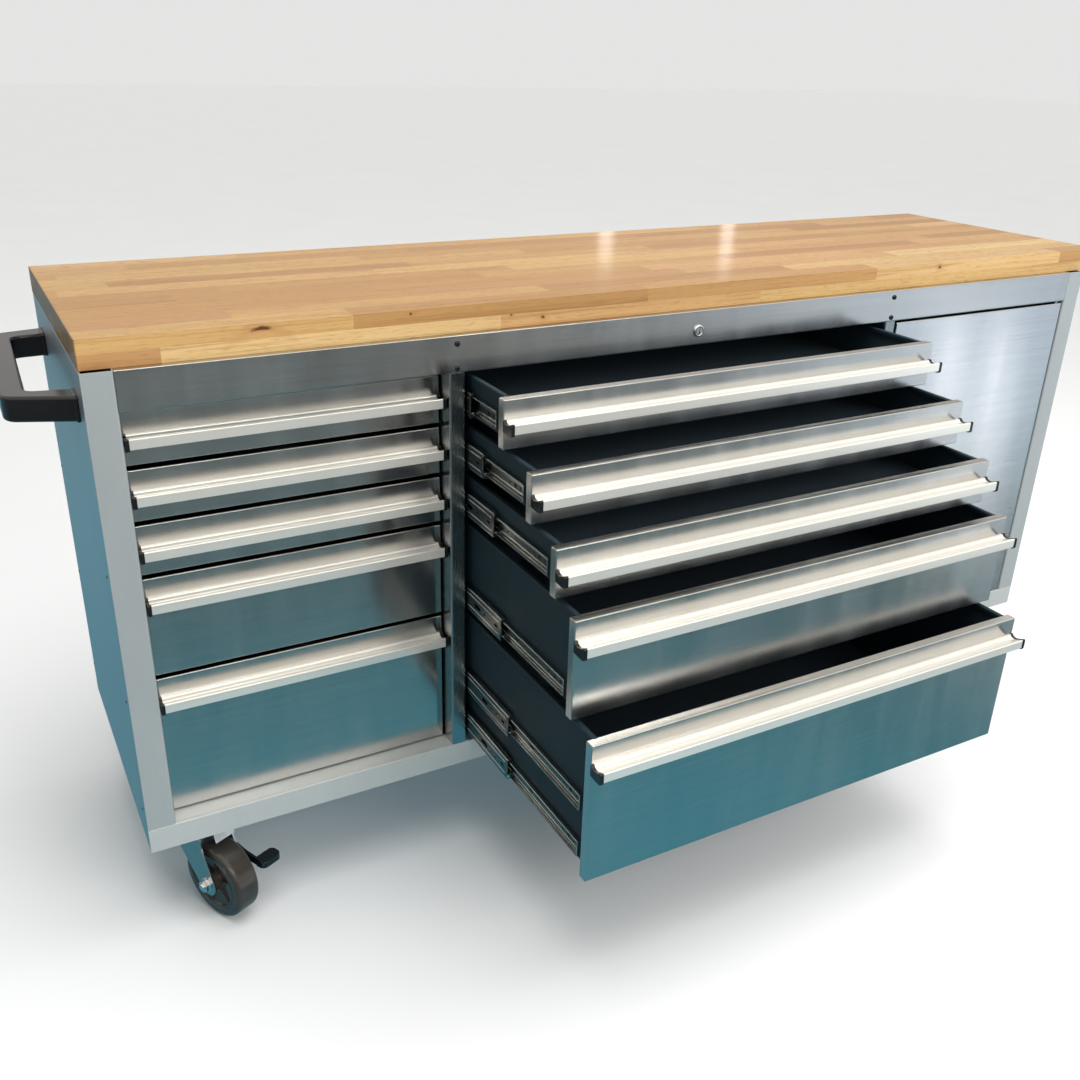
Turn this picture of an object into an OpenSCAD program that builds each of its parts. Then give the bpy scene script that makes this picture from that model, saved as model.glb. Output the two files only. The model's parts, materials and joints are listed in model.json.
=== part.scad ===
// Rolling tool-chest workbench: a steel cabinet on four casters under a wooden worktop,
// with two columns of drawers on telescopic slides and a cupboard behind a hinged door.
// X runs along the front from left to right, Y from front to back, and Z is up.
// The origin is on the floor, under the middle of the bench as it stands with its drawers pulled out.

/* [Cabinet] */
// Width of the steel cabinet
body_w = 1784; // [1760:1:1800]
// Depth of the steel cabinet
body_d = 490; // [488:1:520]
// Width of each front corner post
post_w = 38.5; // [36:0.5:44]
// Width of each stile between the bays
stile_w = 24; // [22:1:30]
// Width of the left bay and of the right bay
side_bay_w = 434; // [420:1:440]
// Height of the rail under the drawers
sill_h = 39; // [36:1:45]
// Height of the rail above the drawers
header_h = 52.5; // [50:0.5:60]
// Thickness of the cabinet's sheet steel
sheet = 1.5; // [1.2:0.1:2]

/* [Worktop] */
// Length of the wooden top
top_l = 1829; // [1810:1:1850]
// Thickness of the wooden top
top_t = 38; // [30:1:45]
// Distance of the top's front edge behind the cabinet's front
top_setback = 11; // [5:1:15]
// Overhang of the top behind the cabinet
top_back = 7; // [2:1:20]

/* [Drawers] */
// Heights of the drawer fronts, from the top row down
front_h = [70, 70, 70, 147, 220];
// Gap between one front and the next
row_gap = 6.5; // [5:0.5:8]
// Gap at each side of a front
side_gap = 3; // [2:0.5:4]
// Distance of a closed front behind the cabinet's front
recess = 31; // [30:1:34]
// Thickness of a front from its face to the back of its returns
front_t = 14; // [12:1:18]
// Depth of a drawer box
box_d = 410; // [380:1:412]
// Thickness of a drawer's sheet steel
box_t = 1.2; // [1:0.1:1.5]
// How far each middle drawer stands open, from the top row down
middle_open = [143, 225, 295, 348, 402];

/* [Slides] */
// Length of a telescopic slide
slide_l = 406; // [380:1:408]
// Width of the gap that a slide fills beside the drawer box
slide_w = 12.7; // [12.5:0.1:13]
// Distance of a slide's middle above the bottom of its drawer front
slide_rise = 33; // [30:1:36]
// Distance between the two slides on each side of the bottom drawer
slide_pair = 77; // [70:1:90]

/* [Pulls] */
// How far a pull stands out from its front
pull_reach = 25; // [22:1:28]
// Distance of the pull's top edge below the front's top edge
pull_drop = 28; // [26:1:30]
// Height of a pull's flange against the front
pull_h = 15; // [14:1:18]

/* [Door] */
// Gap around the door
door_gap = 4; // [3.5:0.5:5]
// Depth of the door's folded edges
door_t = 18; // [15:1:22]
// Length of the door's pull
door_pull_l = 200; // [120:10:300]

/* [Push handle] */
// How far the handle stands out from the cabinet's side
handle_out = 84; // [75:1:95]
// Height of the handle's bar
handle_h = 33; // [28:1:36]
// Width of the handle's grip
grip_w = 30; // [24:1:34]

/* [Casters] */
// Height of a caster
caster_h = 158; // [156:1:165]
// Diameter of a wheel
wheel_d = 125; // [120:1:127]
// Width of a tyre
tyre_w = 40; // [36:1:42]
// Distance of the axle from the swivel's axis
caster_trail = 38; // [34:1:42]
// Distance of a swivel's axis from the cabinet's side
caster_in_x = 82; // [80:1:100]
// Distance of a swivel's axis from the cabinet's front or back
caster_in_y = 58; // [56:1:70]
// Angle of each swivel: front left, front right, rear left, rear right
caster_turn = [25, 18, 32, 12];

/* [Hidden] */
ROWS = [0 : 4];
SIDES = ["left", "middle"];
CORNERS = ["front_left", "front_right", "rear_left", "rear_right"];
NODES = concat(
    ["worktop", "left_side", "right_side", "back_panel", "base_panel", "left_post", "right_post"],
    ["left_partition", "right_partition", "header_rail", "sill_rail", "slide_channels"],
    ["header_screws", "lock_housing", "lock_plug", "push_handle", "caster_plates"],
    ["door_hinge_pins", "door", "door_pull", "brake_front_left", "brake_front_right"],
    [for (c = CORNERS) str("fork_", c)],
    [for (c = CORNERS) str("wheel_", c)],
    [for (s = SIDES, r = ROWS) str("drawer_", s, "_", r + 1)],
    [for (s = SIDES, r = ROWS) str("pull_", s, "_", r + 1)],
    [for (s = SIDES, r = ROWS) str("carriage_", s, "_", r + 1)]
);
node = "all";
$fn = 48;

steel = [0.72, 0.74, 0.75];
grey_steel = [0.62, 0.66, 0.68];
dark_paint = [0.07, 0.10, 0.14];
zinc = [0.70, 0.73, 0.76];
aluminium = [0.86, 0.85, 0.81];
black_plastic = [0.06, 0.06, 0.06];
wood = [0.80, 0.62, 0.40];

// Height of the bottom of row r's front above the cabinet's underside
function row_z(r) = r == 4 ? sill_h + 2 : row_z(r + 1) + front_h[r + 1] + row_gap;
// Heights of a drawer's slides above the bottom of its front
function slides_of(r) = r == 4 ? [slide_rise, slide_rise + slide_pair] : [slide_rise];

head_gap = 9.5;
opening_top = row_z(0) + front_h[0] + head_gap;
body_h = opening_top + header_h;
middle_bay_w = body_w - 2 * (post_w + stile_w + side_bay_w);
left_bay_x = post_w;
middle_bay_x = post_w + side_bay_w + stile_w;
right_bay_x = middle_bay_x + middle_bay_w + stile_w;
bay_x = [left_bay_x, middle_bay_x];
bay_w = [side_bay_w, middle_bay_w];
sill_shelf = recess + 3;
header_lip = 25;
wall_start = sill_shelf + 2;
slide_y = recess + 30;
box_y = recess + front_t;
box_rise = 12;
hem = 8;
cap_w = 4.5;
cap_over = 1;
lip_h = 12.5;
lip_t = 2.4;
reach_y = recess - middle_open[4] - pull_reach;
origin_x = (top_l - handle_out) / 2;
origin_y = (reach_y + body_d + top_back) / 2;
running = 0.06;

// From the cabinet's own corner to the part's frame
module in_cabinet() {
    translate([-origin_x, -origin_y, caster_h]) children();
}

// A box given by its lowest and highest corners
module block(low, high) {
    translate(low) cube(high - low);
}

function on_circle(r, a) = r * [cos(a), sin(a)];
function arc(centre, r, from, to, steps = 10) =
    [for (i = [0 : steps]) centre + on_circle(r, from + (to - from) * i / steps)];

// ---------- Worktop and cabinet shell ----------

module worktop() {
    color(wood) in_cabinet()
        block([0, top_setback, body_h], [top_l, body_d + top_back, body_h + top_t]);
}

// One side panel with a flange along its top, drawn for the left side
module side_panel() {
    block([0, sheet, 0], [sheet, body_d, body_h]);
    block([0, wall_start, body_h - sheet], [20, body_d - sheet, body_h]);
}

module left_side() {
    color(grey_steel) in_cabinet() side_panel();
}

module right_side() {
    color(grey_steel) in_cabinet() translate([body_w, 0, 0]) mirror([1, 0, 0]) side_panel();
}

module back_panel() {
    color(grey_steel) in_cabinet()
        block([sheet, body_d - sheet, 0], [body_w - sheet, body_d, body_h]);
}

module base_panel() {
    color(grey_steel) in_cabinet()
        block([sheet, sheet, 0], [body_w - sheet, body_d - sheet, 2]);
}

// A front post whose inner edge runs back as the bay's side wall, drawn for the left side
module corner_post() {
    block([0, 0, sill_h], [post_w, sheet, body_h]);
    block([post_w - sheet, 0, sill_h], [post_w, wall_start + 1, body_h]);
    block([post_w - sheet, wall_start, 2], [post_w, body_d - sheet, body_h]);
}

module left_post() {
    color(grey_steel) in_cabinet() corner_post();
}

module right_post() {
    color(grey_steel) in_cabinet() translate([body_w, 0, 0]) mirror([1, 0, 0]) corner_post();
}

// A folded channel: the stile at the front and a wall on each side of it, reaching to the back
module partition(x) {
    translate([x, 0, 0]) {
        block([0, 0, sill_h], [stile_w, sheet, opening_top]);
        for (wall = [0, stile_w - sheet]) {
            block([wall, 0, sill_h], [wall + sheet, wall_start + 1, opening_top]);
            block([wall, wall_start, 2], [wall + sheet, body_d - sheet, body_h]);
        }
    }
}

module left_partition() {
    color(grey_steel) in_cabinet() partition(left_bay_x + side_bay_w);
}

module right_partition() {
    color(grey_steel) in_cabinet() partition(right_bay_x - stile_w);
}

module sill_rail() {
    color(grey_steel) in_cabinet() {
        block([0, 0, 0], [body_w, sheet, sill_h]);
        block([sheet, 0, sill_h - sheet], [body_w - sheet, sill_shelf, sill_h]);
    }
}

lock_r = 9.5;
lock_z = body_h - 31;
screw_r = 2;
screw_x = [left_bay_x + side_bay_w + stile_w / 2, right_bay_x - stile_w / 2];
screw_z = [body_h - 46, body_h - 11.5];

module header_rail() {
    color(steel) in_cabinet() difference() {
        union() {
            block([post_w, 0, opening_top], [body_w - post_w, sheet, body_h]);
            block([post_w, 0, opening_top], [body_w - post_w, header_lip, opening_top + sheet]);
            block([post_w, 0, body_h - sheet], [body_w - post_w, header_lip, body_h]);
        }
        translate([body_w / 2, -1, lock_z]) rotate([-90, 0, 0])
            cylinder(r = lock_r - 2 + running, h = sheet + 2);
        for (x = screw_x, z = screw_z)
            translate([x, -1, z]) rotate([-90, 0, 0]) cylinder(r = screw_r + running, h = sheet + 2);
    }
}

module header_screws() {
    color(black_plastic) in_cabinet() for (x = screw_x, z = screw_z)
        translate([x, 0, z]) rotate([90, 0, 0]) {
            cylinder(r = 4.2, h = 1.4);
            translate([0, 0, 1.4]) cylinder(r1 = 4.2, r2 = 2.8, h = 1);
            translate([0, 0, -8]) cylinder(r = screw_r, h = 8);
        }
}

// ---------- Lock ----------

plug_r = 5.6;
plug_l = 24;

module lock_housing() {
    color(zinc) in_cabinet() translate([body_w / 2, 0, lock_z]) rotate([90, 0, 0]) difference() {
        union() {
            cylinder(r = lock_r, h = 2);
            translate([0, 0, 2]) cylinder(r1 = lock_r, r2 = lock_r - 1.2, h = 1.2);
            translate([0, 0, -plug_l]) cylinder(r = lock_r - 2, h = plug_l);
        }
        translate([0, 0, -plug_l - 1]) cylinder(r = plug_r + running, h = plug_l + 6);
    }
}

// The turning plug, with its keyway at the front and a cam at the back
module lock_plug() {
    color(steel) in_cabinet() translate([body_w / 2, 0, lock_z]) rotate([90, 0, 0]) difference() {
        union() {
            translate([0, 0, -plug_l - 4]) cylinder(r = plug_r, h = plug_l + 7);
            translate([-6, -6, -plug_l - 4]) cube([12, 24, 2.5]);
        }
        translate([-0.8, -3.5, -6]) cube([1.6, 7, 12]);
    }
}

// ---------- Telescopic slides ----------

// A C-shaped member: a web with two flanges, drawn from x = 0 towards +X, open on +X
module channel(w, h, t) {
    translate([0, 0, -h / 2]) cube([t, slide_l, h]);
    for (z = [-h / 2, h / 2 - t])
        translate([0, 0, z]) cube([w, slide_l, t]);
}

// The fixed outer members of one drawer, on both walls of its bay
module outer_members(s, r) {
    for (dz = slides_of(r)) {
        translate([bay_x[s], slide_y, row_z(r) + dz]) channel(9.8, 45, 1.2);
        translate([bay_x[s] + bay_w[s], slide_y, row_z(r) + dz]) mirror([1, 0, 0]) channel(9.8, 45, 1.2);
    }
}

module slide_channels() {
    color(zinc) in_cabinet() for (s = [0, 1], r = ROWS) outer_members(s, r);
}

function opened(s, r) = s == 1 ? middle_open[r] : 0;

// The middle members, which move out half as far as their drawer
module carriage(s, r) {
    inset = 2.2;
    color(zinc) in_cabinet() translate([0, -opened(s, r) / 2, 0]) for (dz = slides_of(r)) {
        translate([bay_x[s] + inset, slide_y, row_z(r) + dz]) channel(8, 37, 1.4);
        translate([bay_x[s] + bay_w[s] - inset, slide_y, row_z(r) + dz])
            mirror([1, 0, 0]) channel(8, 37, 1.4);
    }
}

// The inner members, screwed to the drawer box and open towards the wall
module runners(s, r) {
    touch = 0.1;
    for (dz = slides_of(r)) {
        translate([bay_x[s] + slide_w - touch, slide_y, row_z(r) + dz])
            mirror([1, 0, 0]) channel(6.5, 26, 1.4);
        translate([bay_x[s] + bay_w[s] - slide_w + touch, slide_y, row_z(r) + dz]) channel(6.5, 26, 1.4);
    }
}

// ---------- Drawers ----------

// A drawer: the folded box with hemmed rims, and the front pan welded to it
module drawer_body(s, r) {
    x0 = bay_x[s];
    x1 = bay_x[s] + bay_w[s];
    z0 = row_z(r);
    z1 = z0 + front_h[r];
    difference() {
        block([x0 + side_gap, recess, z0], [x1 - side_gap, box_y, z1]);
        block([x0 + side_gap + box_t, recess + box_t, z0 + box_t],
              [x1 - side_gap - box_t, box_y + 1, z1 - box_t]);
    }
    difference() {
        block([x0 + slide_w, box_y - 1, z0 + box_rise], [x1 - slide_w, box_y + box_d, z1]);
        block([x0 + slide_w + box_t, box_y + 1, z0 + box_rise + box_t],
              [x1 - slide_w - box_t, box_y + box_d - box_t, z1 - box_t]);
        block([x0 + slide_w + hem, box_y + hem, z1 - 5], [x1 - slide_w - hem, box_y + box_d - hem, z1 + 1]);
    }
}

module drawer(s, r) {
    color(dark_paint) in_cabinet() translate([0, -opened(s, r), 0]) {
        drawer_body(s, r);
        runners(s, r);
    }
}

// The pull's section: a flange on the front, a hollow shelf outwards and a lip to hook fingers behind.
// Its first axis is the distance from the front, and its second the height from the flange's top.
function shelf_curve(drop) = [for (i = [0 : 9])
    [2 + (pull_reach - 6) * i / 9, -drop - 4 * sin(20 * i)]];
function reversed(points) = [for (i = [len(points) - 1 : -1 : 0]) points[i]];
pull_section = concat(
    [[0, 0], [1.2, 0]],
    shelf_curve(0.4),
    [[pull_reach - 3, 0.4], [pull_reach - 1.6, 0.9], [pull_reach - 0.4, 0.4], [pull_reach, -0.4]],
    [[pull_reach, -lip_h], [pull_reach - lip_t, -lip_h], [pull_reach - lip_t, -2.6]],
    reversed(shelf_curve(2.8)),
    [[2, -pull_h], [0, -pull_h]]
);

// An extrusion of the pull's section along +X, against a front at y = 0
module pull_bar(length, section) {
    rotate([90, 0, 90]) linear_extrude(length) mirror([1, 0]) polygon(section);
}

cap_section = concat(
    [[0, 0], [1.6, 0]],
    shelf_curve(0),
    [[pull_reach - 3, 0.6], [pull_reach - 1.6, 1.2], [pull_reach - 0.3, 0.5], [pull_reach, -0.4]],
    [[pull_reach, -lip_h], [pull_reach - 1.5, -lip_h - 2.5], [pull_reach - 5, -lip_h - 3.8]],
    [[14, -lip_h - 3.8], [0, -pull_h]]
);

module drawer_pull(s, r) {
    x0 = bay_x[s] + side_gap;
    x1 = bay_x[s] + bay_w[s] - side_gap;
    seam = 0.1;
    in_cabinet() translate([0, recess - opened(s, r), row_z(r) + front_h[r] - pull_drop]) {
        color(aluminium) translate([x0 + cap_w, 0, 0]) pull_bar(x1 - x0 - 2 * cap_w, pull_section);
        color(black_plastic) {
            translate([x0 - cap_over, 0, 0]) pull_bar(cap_w + cap_over - seam, cap_section);
            translate([x1 - cap_w + seam, 0, 0]) pull_bar(cap_w + cap_over - seam, cap_section);
        }
    }
}

// ---------- Cupboard door ----------

door_x0 = right_bay_x + door_gap;
door_x1 = body_w - post_w - door_gap;
door_z0 = sill_h + door_gap;
door_z1 = opening_top - door_gap;
pivot_x = door_x1 - 8;
pivot_y = 7;
pivot_r = 3;

module door() {
    color(steel) in_cabinet() difference() {
        block([door_x0, 0, door_z0], [door_x1, door_t, door_z1]);
        block([door_x0 + sheet, sheet, door_z0 + sheet], [door_x1 - sheet, door_t + 1, door_z1 - sheet]);
        translate([pivot_x, pivot_y, door_z0 - 1]) cylinder(r = pivot_r + running, h = door_z1 - door_z0 + 2);
    }
}

// One pivot pin below the header rail and one above the sill
module door_hinge_pins() {
    pin_l = 12;
    color(zinc) in_cabinet() {
        translate([pivot_x, pivot_y, opening_top - pin_l]) cylinder(r = pivot_r, h = pin_l);
        translate([pivot_x, pivot_y, sill_h]) cylinder(r = pivot_r, h = pin_l);
    }
}

module door_pull() {
    middle_z = (door_z0 + door_z1) / 2;
    color(aluminium) in_cabinet() translate([door_x0 + 6, 0, middle_z - door_pull_l / 2])
        rotate([0, -90, 0]) pull_bar(door_pull_l, [for (p = pull_section) [p[0], -p[1] - pull_h]]);
}

// ---------- Push handle ----------

// Seen from above: two arms that lean together, joined by the grip
grip_in = handle_out - grip_w;
handle_outline = concat(
    [[0, 50]],
    arc([-62, 98], handle_out - 62, -105, -180),
    arc([-62, 400], handle_out - 62, -180, -255),
    [[0, 434], [0, 392]],
    arc([-grip_in + 21, 376], 14, 90, 180, 6),
    arc([-grip_in + 14, 112], 14, 180, 260, 6),
    [[0, 90]]
);

module push_handle() {
    low = body_h - 74;
    color(black_plastic) in_cabinet() translate([0, 0, low])
        linear_extrude(handle_h) polygon(handle_outline);
}

// ---------- Casters ----------

plate_t = 3;
wheel_r = wheel_d / 2;
leg_t = 3;
leg_in = tyre_w / 2 + 6;
axle_r = 6;
kingpin_r = 6;
crown_low = caster_h - 19;
crown_high = caster_h - 9.3;
corner_x = [caster_in_x, body_w - caster_in_x, caster_in_x, body_w - caster_in_x];
corner_y = [caster_in_y, caster_in_y, body_d - caster_in_y, body_d - caster_in_y];

// At a swivel's axis on the floor, with +X along the axle and the wheel towards -Y
module at_caster(c) {
    translate([corner_x[c] - origin_x, corner_y[c] - origin_y, 0]) rotate(caster_turn[c]) children();
}

module caster_plates() {
    color(zinc) for (c = [0 : 3]) translate([corner_x[c] - origin_x, corner_y[c] - origin_y, 0]) {
        difference() {
            translate([-50, -42.5, caster_h - plate_t]) cube([100, 85, plate_t]);
            for (x = [-38, 38], y = [-30, 30])
                translate([x, y, caster_h - plate_t - 1]) cylinder(r = 4.3, h = plate_t + 2);
        }
        translate([0, 0, caster_h - 9]) cylinder(r = 33, h = 6.5);
        translate([0, 0, crown_low - 5.7]) cylinder(r = kingpin_r, h = 17);
        translate([0, 0, crown_low - 5.7]) cylinder(r = 10, h = 5.4);
    }
}

// A leg's outline in the wheel's plane: how far forward of the swivel, and how high
leg_outline = concat(
    [[-34, caster_h - 13], [-34, crown_low - 4], [-12, 100]],
    arc([caster_trail, wheel_r], 19, 190, 380, 16),
    [[34, crown_low - 12], [34, caster_h - 13]]
);
brake_pin = [caster_trail, wheel_r + 30];

module leg(x) {
    translate([x, 0, 0]) rotate([90, 0, -90]) linear_extrude(leg_t, center = true)
        polygon(leg_outline);
}

module fork(c, braked) {
    nut_t = 8;
    color(zinc) at_caster(c) {
        difference() {
            union() {
                translate([-leg_in - leg_t, -34, crown_low]) cube([2 * (leg_in + leg_t), 68, 6]);
                translate([0, 0, crown_low]) cylinder(r = 31, h = crown_high - crown_low);
                leg(-leg_in - leg_t / 2);
                leg(leg_in + leg_t / 2);
            }
            translate([0, 0, crown_low - 1]) cylinder(r = kingpin_r + running, h = 20);
            translate([-50, -caster_trail, wheel_r]) rotate([0, 90, 0])
                cylinder(r = axle_r + running, h = 100);
        }
        translate([-leg_in - leg_t - 12, -caster_trail, wheel_r]) rotate([0, 90, 0])
            cylinder(r = axle_r, h = 2 * (leg_in + leg_t) + 24);
        for (side = [-1, 1])
            translate([side * (leg_in + leg_t + nut_t / 2 + 0.1), -caster_trail, wheel_r]) rotate([0, 90, 0])
                cylinder(r = 10, h = nut_t, center = true, $fn = 6);
        if (braked)
            translate([leg_in + leg_t, -brake_pin[0], brake_pin[1]]) rotate([0, 90, 0])
                cylinder(r = 4, h = 6);
    }
}

// A tyre with rounded shoulders on a dished wheel with a long hub
module wheel(c) {
    shoulder = 7;
    half = tyre_w / 2;
    tyre_section = concat(
        [[axle_r + 0.08, -half - 5.5], [16, -half - 5.5], [20, -half + 6], [42, -half + 4], [46, -half]],
        arc([wheel_r - shoulder, -half + shoulder], shoulder, -90, 0, 5),
        arc([wheel_r - shoulder, half - shoulder], shoulder, 0, 90, 5),
        [[46, half], [42, half - 4], [20, half - 6], [16, half + 5.5], [axle_r + 0.08, half + 5.5]]
    );
    color(black_plastic) at_caster(c) translate([0, -caster_trail, wheel_r]) rotate([0, 90, 0])
        rotate_extrude($fn = 96) polygon(tyre_section);
}

// The foot pedal: an arm outside the right leg and a tread that sticks out sideways
module brake(c) {
    arm_x = leg_in + leg_t + 0.5;
    color(black_plastic) at_caster(c) translate([0, -brake_pin[0], brake_pin[1]]) difference() {
        union() {
            translate([arm_x, 0, 0]) rotate([0, 90, 0]) cylinder(r = 9, h = 4);
            translate([arm_x, -58, -9]) cube([4, 58, 13]);
            translate([arm_x, -60, -2]) cube([42, 24, 4]);
            translate([arm_x + 38, -60, -9]) cube([4, 24, 10]);
        }
        rotate([0, 90, 0]) cylinder(r = 4 + running, h = 60);
    }
}

function shown(name) = node == "all" || node == name;

if (shown("worktop")) worktop();
if (shown("left_side")) left_side();
if (shown("right_side")) right_side();
if (shown("back_panel")) back_panel();
if (shown("base_panel")) base_panel();
if (shown("left_post")) left_post();
if (shown("right_post")) right_post();
if (shown("left_partition")) left_partition();
if (shown("right_partition")) right_partition();
if (shown("header_rail")) header_rail();
if (shown("sill_rail")) sill_rail();
if (shown("slide_channels")) slide_channels();
if (shown("header_screws")) header_screws();
if (shown("lock_housing")) lock_housing();
if (shown("lock_plug")) lock_plug();
if (shown("push_handle")) push_handle();
if (shown("caster_plates")) caster_plates();
if (shown("door_hinge_pins")) door_hinge_pins();
if (shown("door")) door();
if (shown("door_pull")) door_pull();
if (shown("brake_front_left")) brake(0);
if (shown("brake_front_right")) brake(1);
for (c = [0 : 3]) if (shown(str("fork_", CORNERS[c]))) fork(c, c < 2);
for (c = [0 : 3]) if (shown(str("wheel_", CORNERS[c]))) wheel(c);
for (s = [0, 1], r = ROWS) if (shown(str("drawer_", SIDES[s], "_", r + 1))) drawer(s, r);
for (s = [0, 1], r = ROWS) if (shown(str("pull_", SIDES[s], "_", r + 1))) drawer_pull(s, r);
for (s = [0, 1], r = ROWS) if (shown(str("carriage_", SIDES[s], "_", r + 1))) carriage(s, r);
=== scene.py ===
"""The workbench with drawers: detailed pieces, materials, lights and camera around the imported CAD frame."""

import json
import math

import bmesh
import bpy
from mathutils import Matrix, Vector


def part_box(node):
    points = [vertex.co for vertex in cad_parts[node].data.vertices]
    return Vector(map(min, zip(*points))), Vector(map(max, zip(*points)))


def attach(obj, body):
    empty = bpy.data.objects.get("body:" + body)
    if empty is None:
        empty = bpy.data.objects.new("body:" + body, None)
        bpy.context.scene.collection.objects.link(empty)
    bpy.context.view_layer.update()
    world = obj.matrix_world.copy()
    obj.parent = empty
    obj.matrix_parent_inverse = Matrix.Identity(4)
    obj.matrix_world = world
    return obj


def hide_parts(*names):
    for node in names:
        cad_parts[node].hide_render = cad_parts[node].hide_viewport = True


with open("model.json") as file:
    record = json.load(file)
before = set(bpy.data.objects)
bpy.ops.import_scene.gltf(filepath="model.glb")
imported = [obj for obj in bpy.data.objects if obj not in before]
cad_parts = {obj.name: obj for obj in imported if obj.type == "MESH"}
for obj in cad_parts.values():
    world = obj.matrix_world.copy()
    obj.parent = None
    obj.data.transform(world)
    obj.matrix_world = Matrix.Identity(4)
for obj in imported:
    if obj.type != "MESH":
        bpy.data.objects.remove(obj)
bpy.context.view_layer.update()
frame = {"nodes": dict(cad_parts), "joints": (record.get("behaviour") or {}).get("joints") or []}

MM = 0.001
SHEET = 1.5 * MM
DRAWERS = [f"{column}_{row}" for column in ("left", "middle") for row in range(1, 6)]
CASTERS = ("front_left", "front_right", "rear_left", "rear_right")


# ---------------- places from the frame

def corners(node):
    """The lowest and highest corner of a CAD node."""
    low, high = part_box(node)
    return Vector(low), Vector(high)


def joint(name):
    """A joint's axis and place."""
    found = next(j for j in frame["joints"] if j["name"] == name)
    return Vector(found["axis"]), Vector(found["pos_m"])


SILL_LOW, SILL_HIGH = corners("sill_rail")
LEFT, FRONT, FOOT = SILL_LOW
TOP = corners("left_side")[1].z


# ---------------- outlines

def mm(points):
    """Points given in millimetres, in metres."""
    return [tuple(value * MM for value in point) for point in points]


def arc(centre, radius, start, stop, steps=6):
    """Points on a circle, angles in degrees."""
    turns = [math.radians(start + (stop - start) * i / steps) for i in range(steps + 1)]
    return [(centre[0] + radius * math.cos(t), centre[1] + radius * math.sin(t)) for t in turns]


def circle(centre, radius, steps=20):
    return arc(centre, radius, 0, 360, steps)[:-1]


def stadium(length, width, steps=6):
    """A slot with round ends."""
    half = (length - width) / 2
    return arc((half, 0), width / 2, -90, 90, steps) + arc((-half, 0), width / 2, 90, 270, steps)


def rectangle(a0, b0, a1, b1, radius=0.0, steps=4):
    """A rectangle, with round corners if a radius is given."""
    if radius <= 0:
        return [(a0, b0), (a1, b0), (a1, b1), (a0, b1)]
    r = radius
    return (arc((a1 - r, b0 + r), r, -90, 0, steps) + arc((a1 - r, b1 - r), r, 0, 90, steps)
            + arc((a0 + r, b1 - r), r, 90, 180, steps) + arc((a0 + r, b0 + r), r, 180, 270, steps))


def eased(path, radius, steps=4):
    """The same path with its corners rounded off."""
    points = [Vector(p) for p in path]
    result = [tuple(points[0])]
    for before, point, after in zip(points, points[1:], points[2:]):
        before, after = before - point, after - point
        reach = min(radius, before.length * 0.49, after.length * 0.49)
        start, stop = point + before.normalized() * reach, point + after.normalized() * reach
        for k in range(steps + 1):
            t = k / steps
            result.append(tuple(start * (1 - t) ** 2 + point * 2 * t * (1 - t) + stop * t ** 2))
    return result + [tuple(points[-1])]


def mitre(before, after):
    """The direction between the normals of two runs of an outline, and the share by which its corner
    stretches. The share has a floor, so that a hairpin doesn't shoot out."""
    normal = Vector((-before.y - after.y, before.x + after.x)).normalized()
    return normal, max(0.3, (1 + before.dot(after)) / 2) ** 0.5


def inset(outline, distance):
    """An outline moved inwards."""
    points = [Vector(p) for p in outline]
    following = points[1:] + points[:1]
    area = sum(a.x * b.y - b.x * a.y for a, b in zip(points, following))
    result = []
    for before, point, after in zip(points[-1:] + points, points, following):
        normal, stretch = mitre((point - before).normalized(), (after - point).normalized())
        result.append(tuple(point + normal * math.copysign(distance, area) / stretch))
    return result


def strip(path, thickness, fold, steps=4):
    """The outline of sheet metal of a thickness, centred on a path and folded with a radius."""
    points = [Vector(p) for p in eased(path, fold, steps)]
    left, right = [], []
    for i, point in enumerate(points):
        before = (point - points[i - 1]).normalized() if i else None
        after = (points[i + 1] - point).normalized() if i < len(points) - 1 else None
        normal, stretch = mitre(before or after, after or before)
        left.append(tuple(point + normal * (thickness / 2 / stretch)))
        right.append(tuple(point - normal * (thickness / 2 / stretch)))
    return left + right[::-1]


# ---------------- mesh tools

shift = Matrix.Translation
CRISP = math.radians(35)     # edges sharper than this stay crisp in the shading
FOLD = math.radians(25)      # edges sharper than this are a tray's folds
MERGE = 1e-6                 # points nearer than this are one


def across(axis, a, b, along):
    """A point with coordinates a and b across an axis, at a place along it."""
    return Vector({"X": (along, a, b), "Y": (a, along, b), "Z": (a, b, along)}[axis])


def facing(axis, origin=(0, 0, 0)):
    """Turns local Z to an axis such as '-Y', then moves to the origin."""
    direction = Vector([(axis[1] == c) * (1 if axis[0] == "+" else -1) for c in "XYZ"])
    turn = Vector((0, 0, 1)).rotation_difference(direction).to_matrix().to_4x4()
    return shift(origin) @ turn


def soften(bm, width, segments=2, angle=25, edges=None):
    """Rounds the edges sharper than an angle, or the given ones."""
    if edges is None:
        limit = math.radians(angle)
        edges = [e for e in bm.edges if len(e.link_faces) == 2 and e.calc_face_angle(0) > limit]
    bmesh.ops.bevel(bm, geom=edges, offset=width, offset_type="OFFSET", segments=segments,
                    profile=0.5, affect="EDGES", clamp_overlap=True)


def cad_shape(node):
    """A CAD node's own shape, without the edges inside its flat faces."""
    part = bmesh.new()
    part.from_mesh(frame["nodes"][node].data)
    bmesh.ops.remove_doubles(part, verts=part.verts, dist=MERGE)
    bmesh.ops.dissolve_limit(part, angle_limit=math.radians(1), verts=part.verts, edges=part.edges)
    return part


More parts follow.
